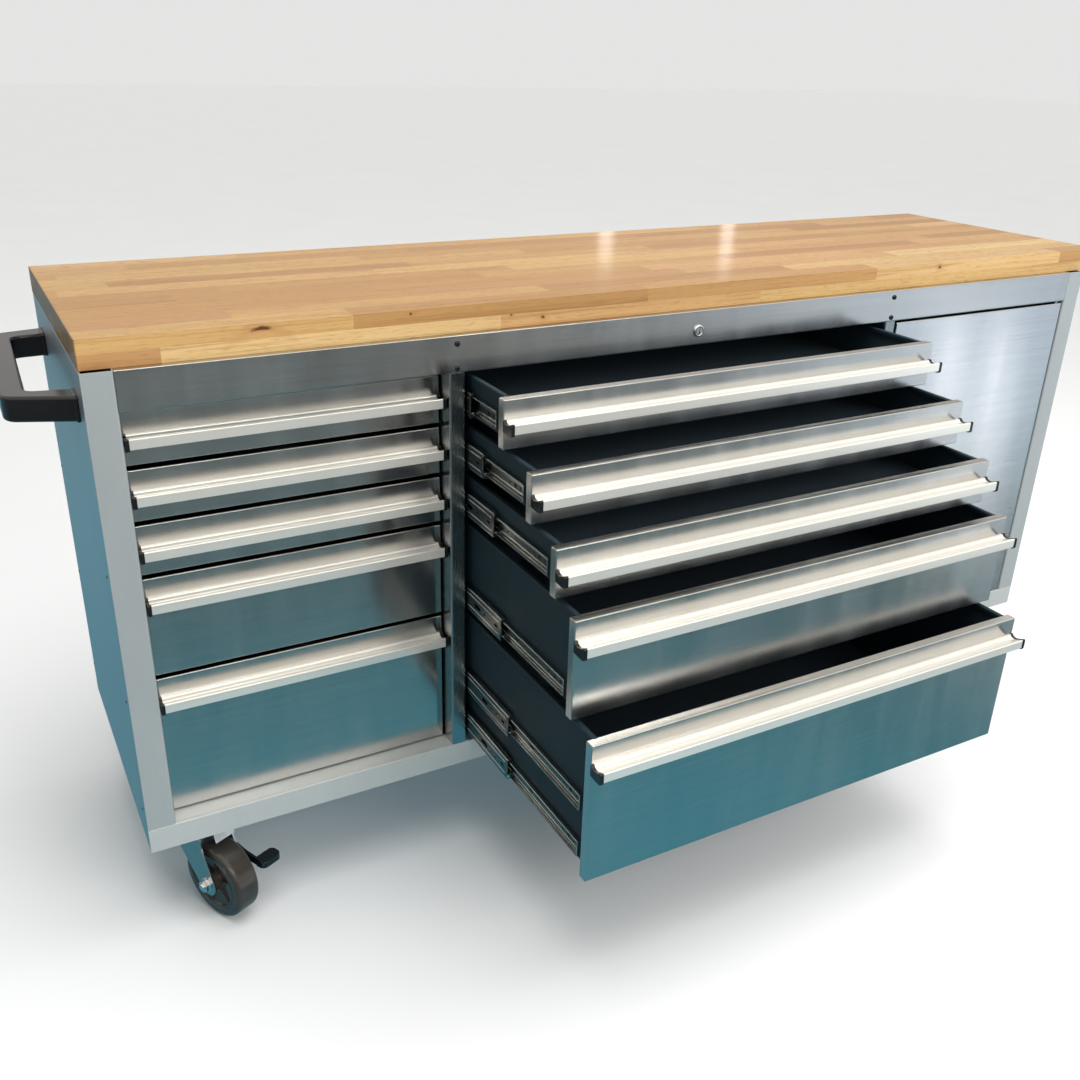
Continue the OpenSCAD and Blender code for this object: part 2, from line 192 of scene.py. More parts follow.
class Build:
    """Gathers solids into one mesh, each with the index of its material."""

    def __init__(self):
        self.bm = bmesh.new()

    def add(self, part, slot=0, matrix=None):
        if matrix is not None:
            bmesh.ops.transform(part, matrix=matrix, verts=part.verts)
        for face in part.faces:
            face.material_index = slot
        mesh = bpy.data.meshes.new("part")
        part.to_mesh(mesh)
        part.free()
        self.bm.from_mesh(mesh)
        bpy.data.meshes.remove(mesh)

    def box(self, low, high, bevel, slot=0, matrix=None):
        self.prism(rectangle(low[0], low[1], high[0], high[1]), "Z", low[2], high[2], bevel, 2, slot, matrix)

    def prism(self, outline, axis, start, stop, bevel, segments=2, slot=0, matrix=None, angle=25):
        """An outline across an axis, pulled along it."""
        part = bmesh.new()
        ends = [[part.verts.new(across(axis, a, b, along)) for a, b in outline] for along in (start, stop)]
        part.faces.new(ends[0])
        part.faces.new(ends[1][::-1])
        for i in range(len(outline)):
            part.faces.new((ends[0][i], ends[0][i - 1], ends[1][i - 1], ends[1][i]))
        bmesh.ops.recalc_face_normals(part, faces=part.faces)
        soften(part, bevel, segments, angle)
        self.add(part, slot, matrix)

    def folded(self, path, sheet, fold, axis, start, stop, bevel, segments=2, matrix=None, steps=4):
        """Sheet metal folded along a path across an axis."""
        outline = strip(path, sheet, fold, steps)
        self.prism(outline, axis, start, stop, bevel, segments, 0, matrix, angle=60)

    def tray(self, outline, axis, base, rim, wall, fold, matrix=None):
        """A folded sheet tray: a base with an outline, and walls that rise from it to the rim."""
        part = bmesh.new()
        inner = inset(outline, wall)
        floor = base + math.copysign(wall, rim - base)
        loops = [[part.verts.new(across(axis, a, b, along)) for a, b in shape]
                 for shape, along in ((outline, base), (outline, rim), (inner, rim), (inner, floor))]
        part.faces.new(loops[0])
        part.faces.new(loops[3])
        for one, two in zip(loops, loops[1:]):
            for i in range(len(outline)):
                part.faces.new((one[i - 1], one[i], two[i], two[i - 1]))
        bmesh.ops.recalc_face_normals(part, faces=part.faces)
        outside, rims = set(loops[0]) | set(loops[1]), set(loops[1])
        folds = [e for e in part.edges if set(e.verts) <= outside and not set(e.verts) <= rims
                 and e.calc_face_angle(0) > FOLD]
        soften(part, fold, 3, edges=folds)
        self.add(part, 0, matrix)

    def lathe(self, section, matrix, steps=48, slot=0, closed=False):
        """A section of (radius, height) points in mm turned about the local Z axis."""
        part = bmesh.new()
        turns = [2 * math.pi * k / steps for k in range(steps)]
        rings = [[part.verts.new((r * math.cos(t), r * math.sin(t), h)) for r, h in mm(section)]
                 for t in turns]
        for k in range(steps):
            for i in range(0 if closed else 1, len(section)):
                part.faces.new((rings[k - 1][i - 1], rings[k][i - 1], rings[k][i], rings[k - 1][i]))
        bmesh.ops.remove_doubles(part, verts=part.verts, dist=MERGE / 10)
        bmesh.ops.recalc_face_normals(part, faces=part.faces)
        self.add(part, slot, matrix)

    def plate(self, outline, holes, thickness, bevel, matrix, slot=0):
        """A flat plate with holes, in the local XY plane and centred on its thickness."""
        curve = bpy.data.curves.new("plate", "CURVE")
        curve.dimensions = "2D"
        curve.fill_mode = "BOTH"
        curve.extrude = thickness / 2 - bevel
        curve.bevel_depth = bevel
        curve.bevel_resolution = 1
        curve.offset = -bevel
        for loop in [outline] + holes:
            spline = curve.splines.new("POLY")
            spline.points.add(len(loop) - 1)
            for point, (a, b) in zip(spline.points, loop):
                point.co = (a, b, 0, 1)
            spline.use_cyclic_u = True
        holder = bpy.data.objects.new("plate", curve)
        mesh = bpy.data.meshes.new_from_object(holder)
        part = bmesh.new()
        part.from_mesh(mesh)
        bmesh.ops.remove_doubles(part, verts=part.verts, dist=MERGE)
        bmesh.ops.recalc_face_normals(part, faces=part.faces)
        bpy.data.objects.remove(holder)
        bpy.data.curves.remove(curve)
        bpy.data.meshes.remove(mesh)
        self.add(part, slot, matrix)

    def copy(self, node, bevel, angle=40):
        """A CAD node's own shape with eased edges."""
        part = cad_shape(node)
        soften(part, bevel, 2, angle)
        self.add(part)

    def done(self, name, materials, body, slot_name, replaced=()):
        """Turns what was gathered into one piece that rides on a body."""
        mesh = bpy.data.meshes.new(name)
        self.bm.to_mesh(mesh)
        self.bm.free()
        for material in materials:
            mesh.materials.append(material)
        for polygon in mesh.polygons:
            polygon.use_smooth = True
        mesh.set_sharp_from_angle(angle=CRISP)
        piece = bpy.data.objects.new(name, mesh)
        bpy.context.scene.collection.objects.link(piece)
        normals = piece.modifiers.new("flat faces", "WEIGHTED_NORMAL")
        normals.keep_sharp = True
        normals.weight = 80
        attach(piece, body)
        if replaced:
            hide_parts(replaced)


# ---------------- materials

class Tree:
    """A node tree, with short calls for what the materials and the world share. Values are sockets, numbers
    or colours."""

    def __init__(self, tree):
        self.tree = tree

    def node(self, kind, **values):
        """A new node with some of its properties and inputs set or linked."""
        made = self.tree.nodes.new(kind)
        for key, value in values.items():
            if hasattr(made, key):
                setattr(made, key, value)
            else:
                self.fill([made.inputs[key]], [value])
        return made

    def fill(self, sockets, values):
        """Links sockets to other sockets, or sets them directly."""
        for socket, value in zip(sockets, values):
            if isinstance(value, bpy.types.NodeSocket):
                self.tree.links.new(value, socket)
            elif isinstance(value, (int, float)):
                socket.default_value = value
            else:
                socket.default_value = tuple(value) + (1,) * (len(socket.default_value) - len(value))

    def maths(self, operation, *values, clamp=False):
        made = self.node("ShaderNodeMath", operation=operation, use_clamp=clamp)
        self.fill(made.inputs, values)
        return made.outputs[0]

    def times(self, a, b):
        return self.maths("MULTIPLY", a, b)

    def vector_maths(self, operation, *values, out="Vector"):
        made = self.node("ShaderNodeVectorMath", operation=operation)
        self.fill(made.inputs, values)
        return made.outputs[out]

    def split(self, vector):
        """The X, Y and Z of a vector."""
        return self.node("ShaderNodeSeparateXYZ", Vector=vector).outputs

    def ramp(self, value, stops, low=0, high=1):
        """Colours at places between low and high."""
        made = self.node("ShaderNodeValToRGB")
        elements = made.color_ramp.elements
        while len(elements) < len(stops):
            elements.new(0.5)
        for element, (place, colour) in zip(elements, stops):
            element.position = (place - low) / (high - low)
            element.color = tuple(colour) + (1,)
        if (low, high) != (0, 1):
            value = self.maths("DIVIDE", self.maths("SUBTRACT", value, low), high - low)
        self.fill(made.inputs, [value])
        return made.outputs["Color"]

    def mix(self, factor, a, b, blend="MIX"):
        made = self.node("ShaderNodeMix", data_type="RGBA", blend_type=blend)
        self.fill([s for s in made.inputs if s.enabled], (factor, a, b))
        return [o for o in made.outputs if o.enabled][0]


class Surface(Tree):
    """A material whose textures lie in the object's own coordinates."""

    def __init__(self, name):
        self.material = bpy.data.materials.new(name)
        self.material.use_nodes = True
        super().__init__(self.material.node_tree)
        self.shader = self.tree.nodes["Principled BSDF"]
        self.place = self.node("ShaderNodeTexCoord").outputs["Object"]

    def noise(self, scale, stretch, detail, roughness, distortion=0.0, place=None):
        mapping = self.node("ShaderNodeMapping", Scale=stretch, Vector=place or self.place)
        return self.node("ShaderNodeTexNoise", Scale=scale, Detail=detail, Roughness=roughness,
                         Distortion=distortion, Vector=mapping.outputs["Vector"]).outputs["Fac"]

    def spread(self, value, low, high, from_low=0.3, from_high=0.7):
        """Maps one range to another. It holds at the ends."""
        made = self.node("ShaderNodeMapRange")
        self.fill(made.inputs, (value, from_low, from_high, low, high))
        return made.outputs["Result"]

    def bump(self, height, strength, distance):
        made = self.node("ShaderNodeBump", Strength=strength, Distance=distance, Height=height)
        return made.outputs["Normal"]

    def convex_edge_share(self, radius, share):
        """Up to a share along convex edges."""
        made = self.node("ShaderNodeBevel", samples=4, Radius=radius)
        plain = self.tree.nodes.new("ShaderNodeNewGeometry").outputs["Normal"]
        dot = self.vector_maths("DOT_PRODUCT", made.outputs["Normal"], plain, out="Value")
        return self.times(self.spread(dot, 1.0, 0.0, 0.85, 1.0), share)

    def finished(self, **inputs):
        """Sets or links the shader's inputs, and gives the material."""
        self.fill([self.shader.inputs[key.replace("_", " ")] for key in inputs], inputs.values())
        return self.material


def shade(colour, by, plus=0.0):
    return [c * by + plus for c in colour]


def brushed_metal(name, colour, rough, along="X", tint=0.02, relief=0.035, smear=0.6, smudge=0.03, bare=1.0):
    """Sheet metal brushed along X or Z, with fine lines, long soft streaks and faint handling marks. Its
    highlights smear across the brushing. bare is 1 for a mirror and less for a milky anodised skin."""
    n = Surface(name)

    def brushing(by, other):
        return tuple(by if axis == along else other for axis in "XYZ")

    lines = n.noise(1.0, brushing(12, 2600), 3, 0.6)
    streaks = n.noise(1.0, brushing(0.6, 140), 4, 0.6)
    marks = n.noise(1.0, (16, 16, 2.6) if along == "X" else (5, 5, 5), 4, 0.6)
    tone = n.times(n.spread(streaks, 1 - tint, 1 + tint), n.spread(lines, 1 - tint * 2, 1 + tint * 2))
    tone = n.times(tone, n.spread(marks, 1 - smudge, 1 + smudge, 0.35, 0.7))
    base = n.node("ShaderNodeVectorMath", operation="SCALE")
    n.fill((base.inputs[0], base.inputs["Scale"]), (colour, tone))
    marked = n.spread(marks, -smudge * 0.5, smudge, 0.35, 0.75)
    return n.finished(
        Base_Color=base.outputs["Vector"], Normal=n.bump(lines, relief, 0.0001), Metallic=bare,
        Roughness=n.maths("ADD", n.spread(lines, rough * 0.93, rough * 1.08), marked, clamp=True),
        Anisotropic=smear, Anisotropic_Rotation=0.25 if along == "X" else 0.0)


def film_covered_steel(name, colour):
    """Satin steel under a thin milky film, so that it is paler and more even than bare sheet."""
    n = Surface(name)
    lines = n.noise(1.0, (1200, 1200, 20), 3, 0.6)
    cloud = n.noise(9, (1, 1, 0.4), 4, 0.55)
    tone = n.mix(n.spread(cloud, 0, 1), shade(colour, 0.96), shade(colour, 1.04))
    tone = n.mix(n.spread(lines, 0, 0.25), tone, shade(colour, 0.86))
    return n.finished(Base_Color=tone, Roughness=n.spread(cloud, 0.34, 0.44), Metallic=0.35,
                      Normal=n.bump(n.maths("ADD", n.times(lines, 0.2), cloud), 0.05, 0.002))


def painted_metal(name, colour, rough, shine):
    """Powder coat with orange peel and a little dust; its convex edges are paler, partly wear and partly a
    painted highlight where the rims catch the light.
    """
    n = Surface(name)
    skin = n.noise(900, (1, 1, 1), 2, 0.5)
    cloud = n.noise(7, (1, 1, 1), 4, 0.6)
    dust = n.noise(260, (1, 1, 1), 3, 0.65)
    tone = n.mix(n.spread(cloud, 0, 0.5, 0.35, 0.7), colour, shade(colour, 1.15))
    tone = n.mix(n.spread(dust, 0, 0.04, 0.62, 0.78), tone, (0.22, 0.22, 0.21))
    # paler convex edges: partly wear, partly painted highlight along the rims
    return n.finished(Base_Color=n.mix(n.convex_edge_share(0.0012, 0.4), tone, (0.20, 0.22, 0.23)),
                      Roughness=n.spread(cloud, rough * 0.9, rough * 1.15),
                      Normal=n.bump(skin, 0.1, 0.0002), Specular_IOR_Level=shine)


def moulded(name, colour, rough, grain=0.02, scale=1400):
    """Moulded plastic or rubber with a fine leathery grain and faint scuffs."""
    n = Surface(name)
    pebble = n.node("ShaderNodeTexVoronoi", Scale=scale, Vector=n.place)
    cloud = n.noise(22, (1, 1, 1), 4, 0.6)
    scuff = n.noise(60, (1, 6, 2), 4, 0.7)
    tone = n.mix(n.spread(cloud, 0, 0.4, 0.35, 0.7), colour, shade(colour, 1.7, 0.003))
    tone = n.mix(n.spread(scuff, 0, 0.25, 0.6, 0.8), tone, shade(colour, 2.2, 0.012))
    return n.finished(Base_Color=n.mix(n.convex_edge_share(0.001, 0.3), tone, shade(colour, 3, 0.03)),
                      Roughness=n.spread(cloud, rough * 0.85, rough * 1.2),
                      Normal=n.bump(pebble.outputs["Distance"], grain, 0.0002))


def zinc_plate(name, colour, rough):
    """Zinc plating with soft clouds and rolling lines; its convex edges are brighter, partly rubbed wear and
    partly a painted highlight where they catch the light.
    """
    n = Surface(name)
    cloud = n.noise(40, (1, 1, 1), 3, 0.5)
    lines = n.noise(1.0, (900, 8, 900), 3, 0.6)
    tone = n.mix(n.spread(cloud, 0, 1), colour, shade(colour, 0.88))
    tone = n.mix(n.spread(lines, 0, 0.3, 0.45, 0.7), tone, shade(colour, 0.7))
    # brighter convex edges: partly rubbed wear, partly painted highlight
    return n.finished(Base_Color=n.mix(n.convex_edge_share(0.0009, 0.6), tone, (0.85, 0.86, 0.84)),
                      Roughness=n.spread(cloud, rough * 0.9, rough * 1.15),
                      Normal=n.bump(lines, 0.04, 0.0001), Metallic=1.0)


STAVE_WIDTH = 40.5 * MM
STAVE_LENGTH = 0.46
LAYER = 19 * MM
STAVE_TONES = [(0.0, (0.390, 0.200, 0.060)), (0.25, (0.500, 0.280, 0.088)), (0.5, (0.590, 0.355, 0.118)),
               (0.75, (0.700, 0.460, 0.168)), (1.0, (0.850, 0.630, 0.280))]
GRAIN_TONES = [(0.34, (0.74, 0.65, 0.54)), (0.46, (1, 1, 1)), (0.57, (1.06, 1.06, 1.05)),
               (0.68, (0.82, 0.73, 0.62))]
# knots in the front edge: distance from the left end, height above the slab's underside, length, height
KNOTS = [(0.2215, 0.0315, 0.022, 0.0042), (0.4216, 0.0325, 0.0035, 0.0028), (0.5728, 0.0182, 0.003, 0.0022),
         (0.6233, 0.0110, 0.0055, 0.0034), (1.4091, 0.0305, 0.005, 0.0042)]


def butcher_block(name):
    """Finger-jointed rubberwood staves along X in two layers, each stave with its own tone, grain and pores,
    and a few knots in the front edge."""
    n = Surface(name)
    low, high = corners("worktop")
    size = high - low
    place = n.vector_maths("SUBTRACT", n.place, low)
    x, y, z = n.split(place)

    def chance(*key):
        """A random value and a random colour for a key of three numbers."""
        joined = n.node("ShaderNodeCombineXYZ")
        n.fill(joined.inputs, key)
        key = joined.outputs["Vector"]
        return n.node("ShaderNodeTexWhiteNoise", noise_dimensions="3D", Vector=key).outputs

    layer = n.maths("FLOOR", n.maths("DIVIDE", z, LAYER + 0.01 * MM))
    row = n.maths("FLOOR", n.maths("DIVIDE", y, STAVE_WIDTH))
    jitter = chance(row, layer, 3.7)["Value"]
    slid = n.maths("ADD", n.maths("DIVIDE", x, STAVE_LENGTH), n.times(jitter, 7.3))
    value, colour = chance(row, n.maths("FLOOR", slid), layer)
    hue = n.node("ShaderNodeSeparateColor", Color=colour)
    wood = n.mix(n.spread(hue.outputs["Green"], 0, 0.7, 0.55, 1.0), n.ramp(value, STAVE_TONES),
                 (0.60, 0.310, 0.140))
    moved = n.vector_maths("MULTIPLY_ADD", colour, (3.0, 3.0, 3.0), place)

    def texture(scale, detail, roughness, distortion=0.0):
        return n.noise(1.0, scale, detail, roughness, distortion, moved)

    grain = texture((2.4, 105, 105), 5, 0.6, 0.7)
    figure = texture((1.4, 30, 30), 4, 0.55, 1.2)
    pores = texture((52, 640, 640), 2, 0.5)
    wood = n.mix(1.0, wood, n.ramp(grain, GRAIN_TONES), "MULTIPLY")
    wood = n.mix(n.spread(figure, 0, 0.35, 0.45, 0.75), wood, (0.47, 0.245, 0.095))
    pored = n.times(n.spread(pores, 0, 1, 0.56, 0.70), n.spread(y, 0.4, 0.95, 0, 3 * MM))
    wood = n.mix(pored, wood, (0.24, 0.120, 0.042))
    # glue lines between the staves, between the layers and at the staves' ends
    seams = [n.maths("LESS_THAN", n.maths("PINGPONG", value, 0.5), width) for value, width in (
        (n.maths("DIVIDE", y, STAVE_WIDTH), 0.006), (n.maths("DIVIDE", z, LAYER), 0.012), (slid, 0.0009))]
    seam = n.maths("MAXIMUM", n.maths("MAXIMUM", seams[0], seams[1]), seams[2])
    wood = n.mix(n.times(seam, 0.45), wood, (0.26, 0.135, 0.052))
    # the slab's ends show darker end grain
    from_end = n.maths("MINIMUM", x, n.maths("SUBTRACT", size.x, x))
    wood = n.mix(n.spread(from_end, 0.72, 0, 0.5 * MM, 2.2 * MM), wood, (0.13, 0.085, 0.050))
    # the planed front edge is drier and paler than the oiled top
    dry = n.times(n.spread(y, 1, 0, 0.4 * MM, 1.6 * MM), n.spread(z, 1, 0, size.z - 2 * MM, size.z))
    wood = n.mix(dry, wood, n.mix(1.0, wood, (1.17, 1.20, 1.32), "MULTIPLY"))
    # knots: a dark eye with a ring of darker grain, only at the front; the long one is bowed
    wobble = n.times(n.maths("SUBTRACT", texture((90, 90, 240), 3, 0.6), 0.5), 1.3)
    near_front = n.maths("LESS_THAN", y, 6 * MM)
    for where, height, length, tall in KNOTS:
        beside = n.maths("DIVIDE", n.maths("SUBTRACT", x, where), length)
        squared = n.times(beside, beside)
        bow = n.times(squared, tall * 1.1 if length > 0.01 else 0.0)
        up = n.maths("DIVIDE", n.maths("ADD", n.maths("SUBTRACT", z, height), bow), tall)
        far = n.maths("ADD", n.maths("SQRT", n.maths("ADD", squared, n.times(up, up))), wobble)
        for strength, near, away, stain in ((0.45, 0.8, 2.6, (0.42, 0.20, 0.075)),
                                            (0.9, 0.30, 0.85, (0.06, 0.022, 0.010))):
            wood = n.mix(n.times(n.spread(far, strength, 0, near, away), near_front), wood, stain)
    relief = n.maths("SUBTRACT", grain, n.times(seam, 0.5))
    return n.finished(Base_Color=wood, Roughness=n.spread(grain, 0.36, 0.46),
                      Normal=n.bump(relief, 0.06, 0.0003), Specular_IOR_Level=0.16, Coat_Weight=0.15,
                      Coat_Roughness=0.08)


SATIN = film_covered_steel("satin_steel", (0.42, 0.45, 0.455))
SILL_STEEL = film_covered_steel("sill_steel", (0.56, 0.58, 0.57))
BRUSHED = brushed_metal("brushed_steel", (0.60, 0.60, 0.59), 0.18, "X", 0.03, 0.05, 0.9, 0.045)
DOOR_STEEL = brushed_metal("door_steel", (0.60, 0.61, 0.62), 0.125, "X", 0.03, 0.04, 0.9, 0.03)
STILE_STEEL = brushed_metal("stile_steel", (0.40, 0.43, 0.44), 0.26, "Z")
SIDE_STEEL = brushed_metal("side_steel", (0.52, 0.55, 0.57), 0.38, "Z", 0.012, 0.03, 0.3)
DARK_PAINT = painted_metal("dark_paint", (0.017, 0.032, 0.041), 0.5, 0.1)
# a paler copy of the dark paint for the boxes' insides: painted light that lifts the shade inside the drawers
LIT_INNER_PAINT = painted_metal("inner_paint_painted_light", (0.055, 0.077, 0.095), 0.45, 0.12)
ALUMINIUM = brushed_metal("anodised_aluminium", (0.88, 0.86, 0.80), 0.22, "X", 0.004, 0.01, 0.2, 0.012, 0.60)
ZINC = zinc_plate("zinc_plate", (0.50, 0.505, 0.49), 0.20)
# a darker copy of the zinc plate for the slides' webs: painted shade where the webs lie deep in their
# channels
SHADED_ZINC = zinc_plate("zinc_painted_shade", (0.15, 0.16, 0.16), 0.30)
CHROME = zinc_plate("bright_chrome", (0.80, 0.81, 0.82), 0.12)
BLACK = moulded("black_plastic", (0.006, 0.007, 0.008), 0.15)
DARK_STEEL = brushed_metal("dark_steel", (0.16, 0.18, 0.19), 0.4, "Z")
RUBBER = moulded("caster_rubber", (0.036, 0.032, 0.027), 0.20, 0.02, 900)
WOOD = butcher_block("butcher_block")


# ---------------- worktop and cabinet shell

def make_worktop():
    low, high = corners("worktop")
    slab = Build()
    slab.prism(rectangle(low.x, low.y, high.x, high.y, 2 * MM, 3), "Z", low.z, high.z, 0.8 * MM, 3)
    slab.done("worktop_slab", [WOOD], "cabinet", "butcher_block", "worktop")


def rivet(build, place, axis):
    """A low domed rivet head."""
    dome = [(0, -0.5), (2.6, -0.5), (2.6, 0.1), (2.08, 0.7), (1.17, 1.1), (0, 1.2)]
    build.lathe(dome, facing(axis, place), 20, 1)


def make_sides():
    for side, outward in (("left", -1), ("right", 1)):
        low, high = corners(side + "_side")
        face = low.x if outward < 0 else high.x
        inner = face - outward * 20 * MM
        middle, top = face - outward * SHEET / 2, high.z - SHEET / 2
        panel = Build()
        panel.folded([(middle, low.z), (middle, top), (face - outward * 2.2 * MM, top)], SHEET, 2 * MM,
                     "Y", low.y, high.y, 0.3 * MM)
        fold = face - outward * 1.5 * MM
        flange = [(fold, high.z - SHEET), (inner, high.z - SHEET), (inner, high.z), (fold, high.z)]
        panel.prism(flange, "Y", low.y + 38 * MM, high.y - SHEET, 0.3 * MM)
        for z in (60 * MM, 240 * MM, 430 * MM):
            for y in (low.y + 26 * MM, high.y - 14 * MM):
                rivet(panel, (face, y, FOOT + z), "-X" if outward < 0 else "+X")
        panel.done(side + "_side_sheet", [SIDE_STEEL, DARK_STEEL], "cabinet", "satin_steel", side + "_side")


RETURN = 37 * MM         # how far the posts' and stiles' folded edges run back


def make_posts():
    for side, outward in (("left", -1), ("right", 1)):
        low, high = corners(side + "_post")
        outer, inner = (low.x, high.x) if outward < 0 else (high.x, low.x)
        half = SHEET / 2
        post = Build()
        path = [(outer, FRONT + half), (inner + outward * half, FRONT + half),
                (inner + outward * half, FRONT + RETURN)]
        post.folded(path, SHEET, 2.4 * MM, "Z", SILL_HIGH.z, TOP, 0.35 * MM)
        x0, x1 = sorted((inner, inner + outward * SHEET))
        post.box((x0, FRONT + RETURN - 0.5 * MM, low.z), (x1, high.y, TOP), 0.3 * MM)
        post.done(side + "_post_sheet", [SATIN], "cabinet", "satin_steel", side + "_post")


def make_partitions():
    top = corners("header_rail")[0].z
    half = SHEET / 2
    for side in ("left", "right"):
        low, high = corners(side + "_partition")
        stile = Build()
        path = [(low.x + half, FRONT + RETURN), (low.x + half, FRONT + half), (high.x - half, FRONT + half),
                (high.x - half, FRONT + RETURN)]
        stile.folded(path, SHEET, 2.4 * MM, "Z", SILL_HIGH.z, top, 0.3 * MM)
        for x in (low.x, high.x - SHEET):
            stile.box((x, FRONT + RETURN - 0.5 * MM, low.z), (x + SHEET, high.y, high.z), 0.3 * MM)
        stile.done(side + "_stile_sheet", [STILE_STEEL], "cabinet", "satin_steel", side + "_partition")


def make_sill():
    low, high = SILL_LOW, SILL_HIGH
    half = SHEET / 2
    sill = Build()
    path = [(FRONT + half, low.z), (FRONT + half, high.z - half), (FRONT + 3 * MM, high.z - half)]
    sill.folded(path, SHEET, 2 * MM, "X", low.x, high.x, 0.4 * MM)
    sill.box((low.x + SHEET, FRONT + 2.2 * MM, high.z - SHEET), (high.x - SHEET, high.y, high.z), 0.3 * MM)
    sill.done("sill_sheet", [SILL_STEEL], "cabinet", "satin_steel", "sill_rail")


def make_header():
    low, high = corners("header_rail")
    half, bend = SHEET / 2, 1.6 * MM
    holes = [circle(((LEFT + SILL_HIGH.x) / 2, lock_place().z), 7.6 * MM, 32)]
    holes += [circle(place, 2.1 * MM, 16) for place in screw_places()]
    header = Build()
    upright = Matrix(((1, 0, 0, 0), (0, 0, 1, FRONT + half), (0, 1, 0, 0), (0, 0, 0, 1)))
    face = rectangle(low.x, low.z + bend, high.x, high.z - bend)
    header.plate(face, holes, SHEET, 0.05 * MM, upright)
    for z, turn in ((low.z, 1), (high.z, -1)):
        path = [(FRONT + half, z + turn * (bend + 0.2 * MM)), (FRONT + half, z + turn * half),
                (high.y, z + turn * half)]
        header.folded(path, SHEET, 1.2 * MM, "X", low.x, high.x, 0.1 * MM)
    header.done("header_sheet", [BRUSHED], "cabinet", "brushed_steel", "header_rail")


def make_panels():
    for name in ("back", "base"):
        node = name + "_panel"
        panel = Build()
        panel.copy(node, 0.5 * MM)
        if name == "back":
            low, high = corners(node)
            for i in range(9):
                x = low.x + 20 * MM + (high.x - low.x - 40 * MM) * i / 8
                for z in (low.z + 14 * MM, high.z - 14 * MM):
                    rivet(panel, (x, high.y, z), "+Y")
        panel.done(name + "_sheet", [SIDE_STEEL, DARK_STEEL], "cabinet", "satin_steel", node)


# ---------------- screws and lock

def screw_places():
    """Where the header's four screws are, read off the screws themselves."""
    low, high = corners("header_screws")
    reach = 4.2 * MM
    return [(x, z) for x in (low.x + reach, high.x - reach) for z in (low.z + reach, high.z - reach)]


def lock_place():
    """The middle of the lock's housing."""
    low, high = corners("lock_housing")
    return (low + high) / 2


def make_screws():
    screws = Build()
    head = [(0, 0.9), (1.3, 0.9), (1.35, 2.3), (1.7, 2.4), (3.0, 2.2), (3.9, 1.5), (4.2, 0.7), (4.2, 0),
            (2.0, 0), (2.0, -7.6), (1.4, -8), (0, -8)]
    for x, z in screw_places():
        screws.lathe(head, facing("-Y", (x, FRONT, z)), 24)
    screws.done("header_screw_heads", [BLACK], "cabinet", "black_plastic", "header_screws")


def make_lock():
    centre = lock_place()
    ring = Build()
    section = [(5.7, -24), (7.4, -24), (7.4, 0), (9.5, 0), (9.5, 1.4), (9.1, 2.3), (8.2, 3.0), (7.4, 3.2),
               (6.6, 3.1), (6.0, 2.6), (5.7, 2.0)]
    ring.lathe(section, facing("-Y", (centre.x, FRONT, centre.z)), closed=True)
    ring.done("lock_ring", [CHROME], "cabinet", "zinc_plate", "lock_housing")
    plug = Build()
    plug.copy("lock_plug", 0.25 * MM, 50)
    plug.done("lock_barrel", [CHROME], "lock_plug", "zinc_plate", "lock_plug")


# ---------------- telescopic slides

# Each member's section in mm: its web and the ends of its flanges, from the bay's wall towards its middle;
# its height, its sheet, the curl of its lips, and its ridges above and below its middle. Then its holes:
# distance from the front end, length and height.
OUTER = ((0.0, 9.8, 45, 1.2, 1.6, 9), [(24, 10, 5), (60, 6, 6), (200, 12, 5), (380, 6, 6)])
CARRIAGE = ((2.2, 10.2, 37, 1.4, 1.2, 10),
            [(16, 12, 5), (38, 5, 5), (52, 5, 5), (78, 22, 7), (150, 8, 8), (260, 22, 7), (385, 6, 6)])
RUNNER = ((12.6, 6.1, 26, 1.4, 0.8, 6),
          [(15, 4.5, 4.5), (30, 8, 6.5), (46, 5, 5), (120, 5, 5), (140, 14, 4.5), (230, 5, 5), (250, 14, 4.5),
           (390, 5, 5)])
SLIDE_LENGTH = 406 * MM
RUNNER_START = 30 * MM   # from a drawer's front to its inner members


def slide_heights(carriage):
    """The heights of a drawer's slides: it has one a side, or two, one above the other."""
    low, high = corners(carriage)
    half = CARRIAGE[0][2] * MM / 2
    first, last = low.z + half, high.z - half
    return [first] if last - first < 5 * MM else [first, last]


def slide_member(build, wall, inward, y0, y1, z, shape, web_slot):
    """A rolled channel: a web with two pressed ridges, slots and holes, and two flanges with curled lips."""
    section, holes = shape
    web_at, flange_to, height, sheet, curl, ridge = (value * MM for value in section)
    side = 1 if flange_to > web_at else -1
    half, race = height / 2, 2.6 * MM
    web, tip = web_at + side * sheet / 2, flange_to - side * sheet * 0.3
    # the ridges stand out on the cabinet's side of the web
    at = wall + inward * (web_at if side > 0 else web_at - sheet)
    inside, outside = at + inward * 0.2 * MM, at - inward * 0.6 * MM
    for up in (-1, 1):
        path = [(web, up * (half - race)), (web, up * (half - sheet / 2)), (tip, up * (half - sheet / 2)),
                (tip, up * (half - sheet / 2 - curl))]
        outline = [(wall + inward * a, z + b) for a, b in strip(path, sheet, 1.6 * MM)]
        build.prism(outline, "Y", y0, y1, 0.15 * MM, 1, angle=60)
        middle = z + up * ridge
        pressed = [(inside, middle - 1.5 * MM), (outside, middle - 0.8 * MM), (outside, middle + 0.8 * MM),
                   (inside, middle + 1.5 * MM)]
        build.prism(pressed, "Y", y0 + 6 * MM, y1 - 6 * MM, 0.25 * MM)
    cuts = []
    for place, length, width in mm(holes):
        cut = circle((0, 0), width / 2, 16) if length <= width else stadium(length, width)
        cuts.append([(place + a, b) for a, b in cut])
    lying = Matrix(((0, 0, 1, wall + inward * web), (1, 0, 0, y0), (0, 1, 0, z), (0, 0, 0, 1)))
    web_face = rectangle(0, -half + race, y1 - y0, half - race)
    # the web takes its slot's darker zinc: painted shade inside the channel
    build.plate(web_face, cuts, sheet, 0.05 * MM, lying, web_slot)


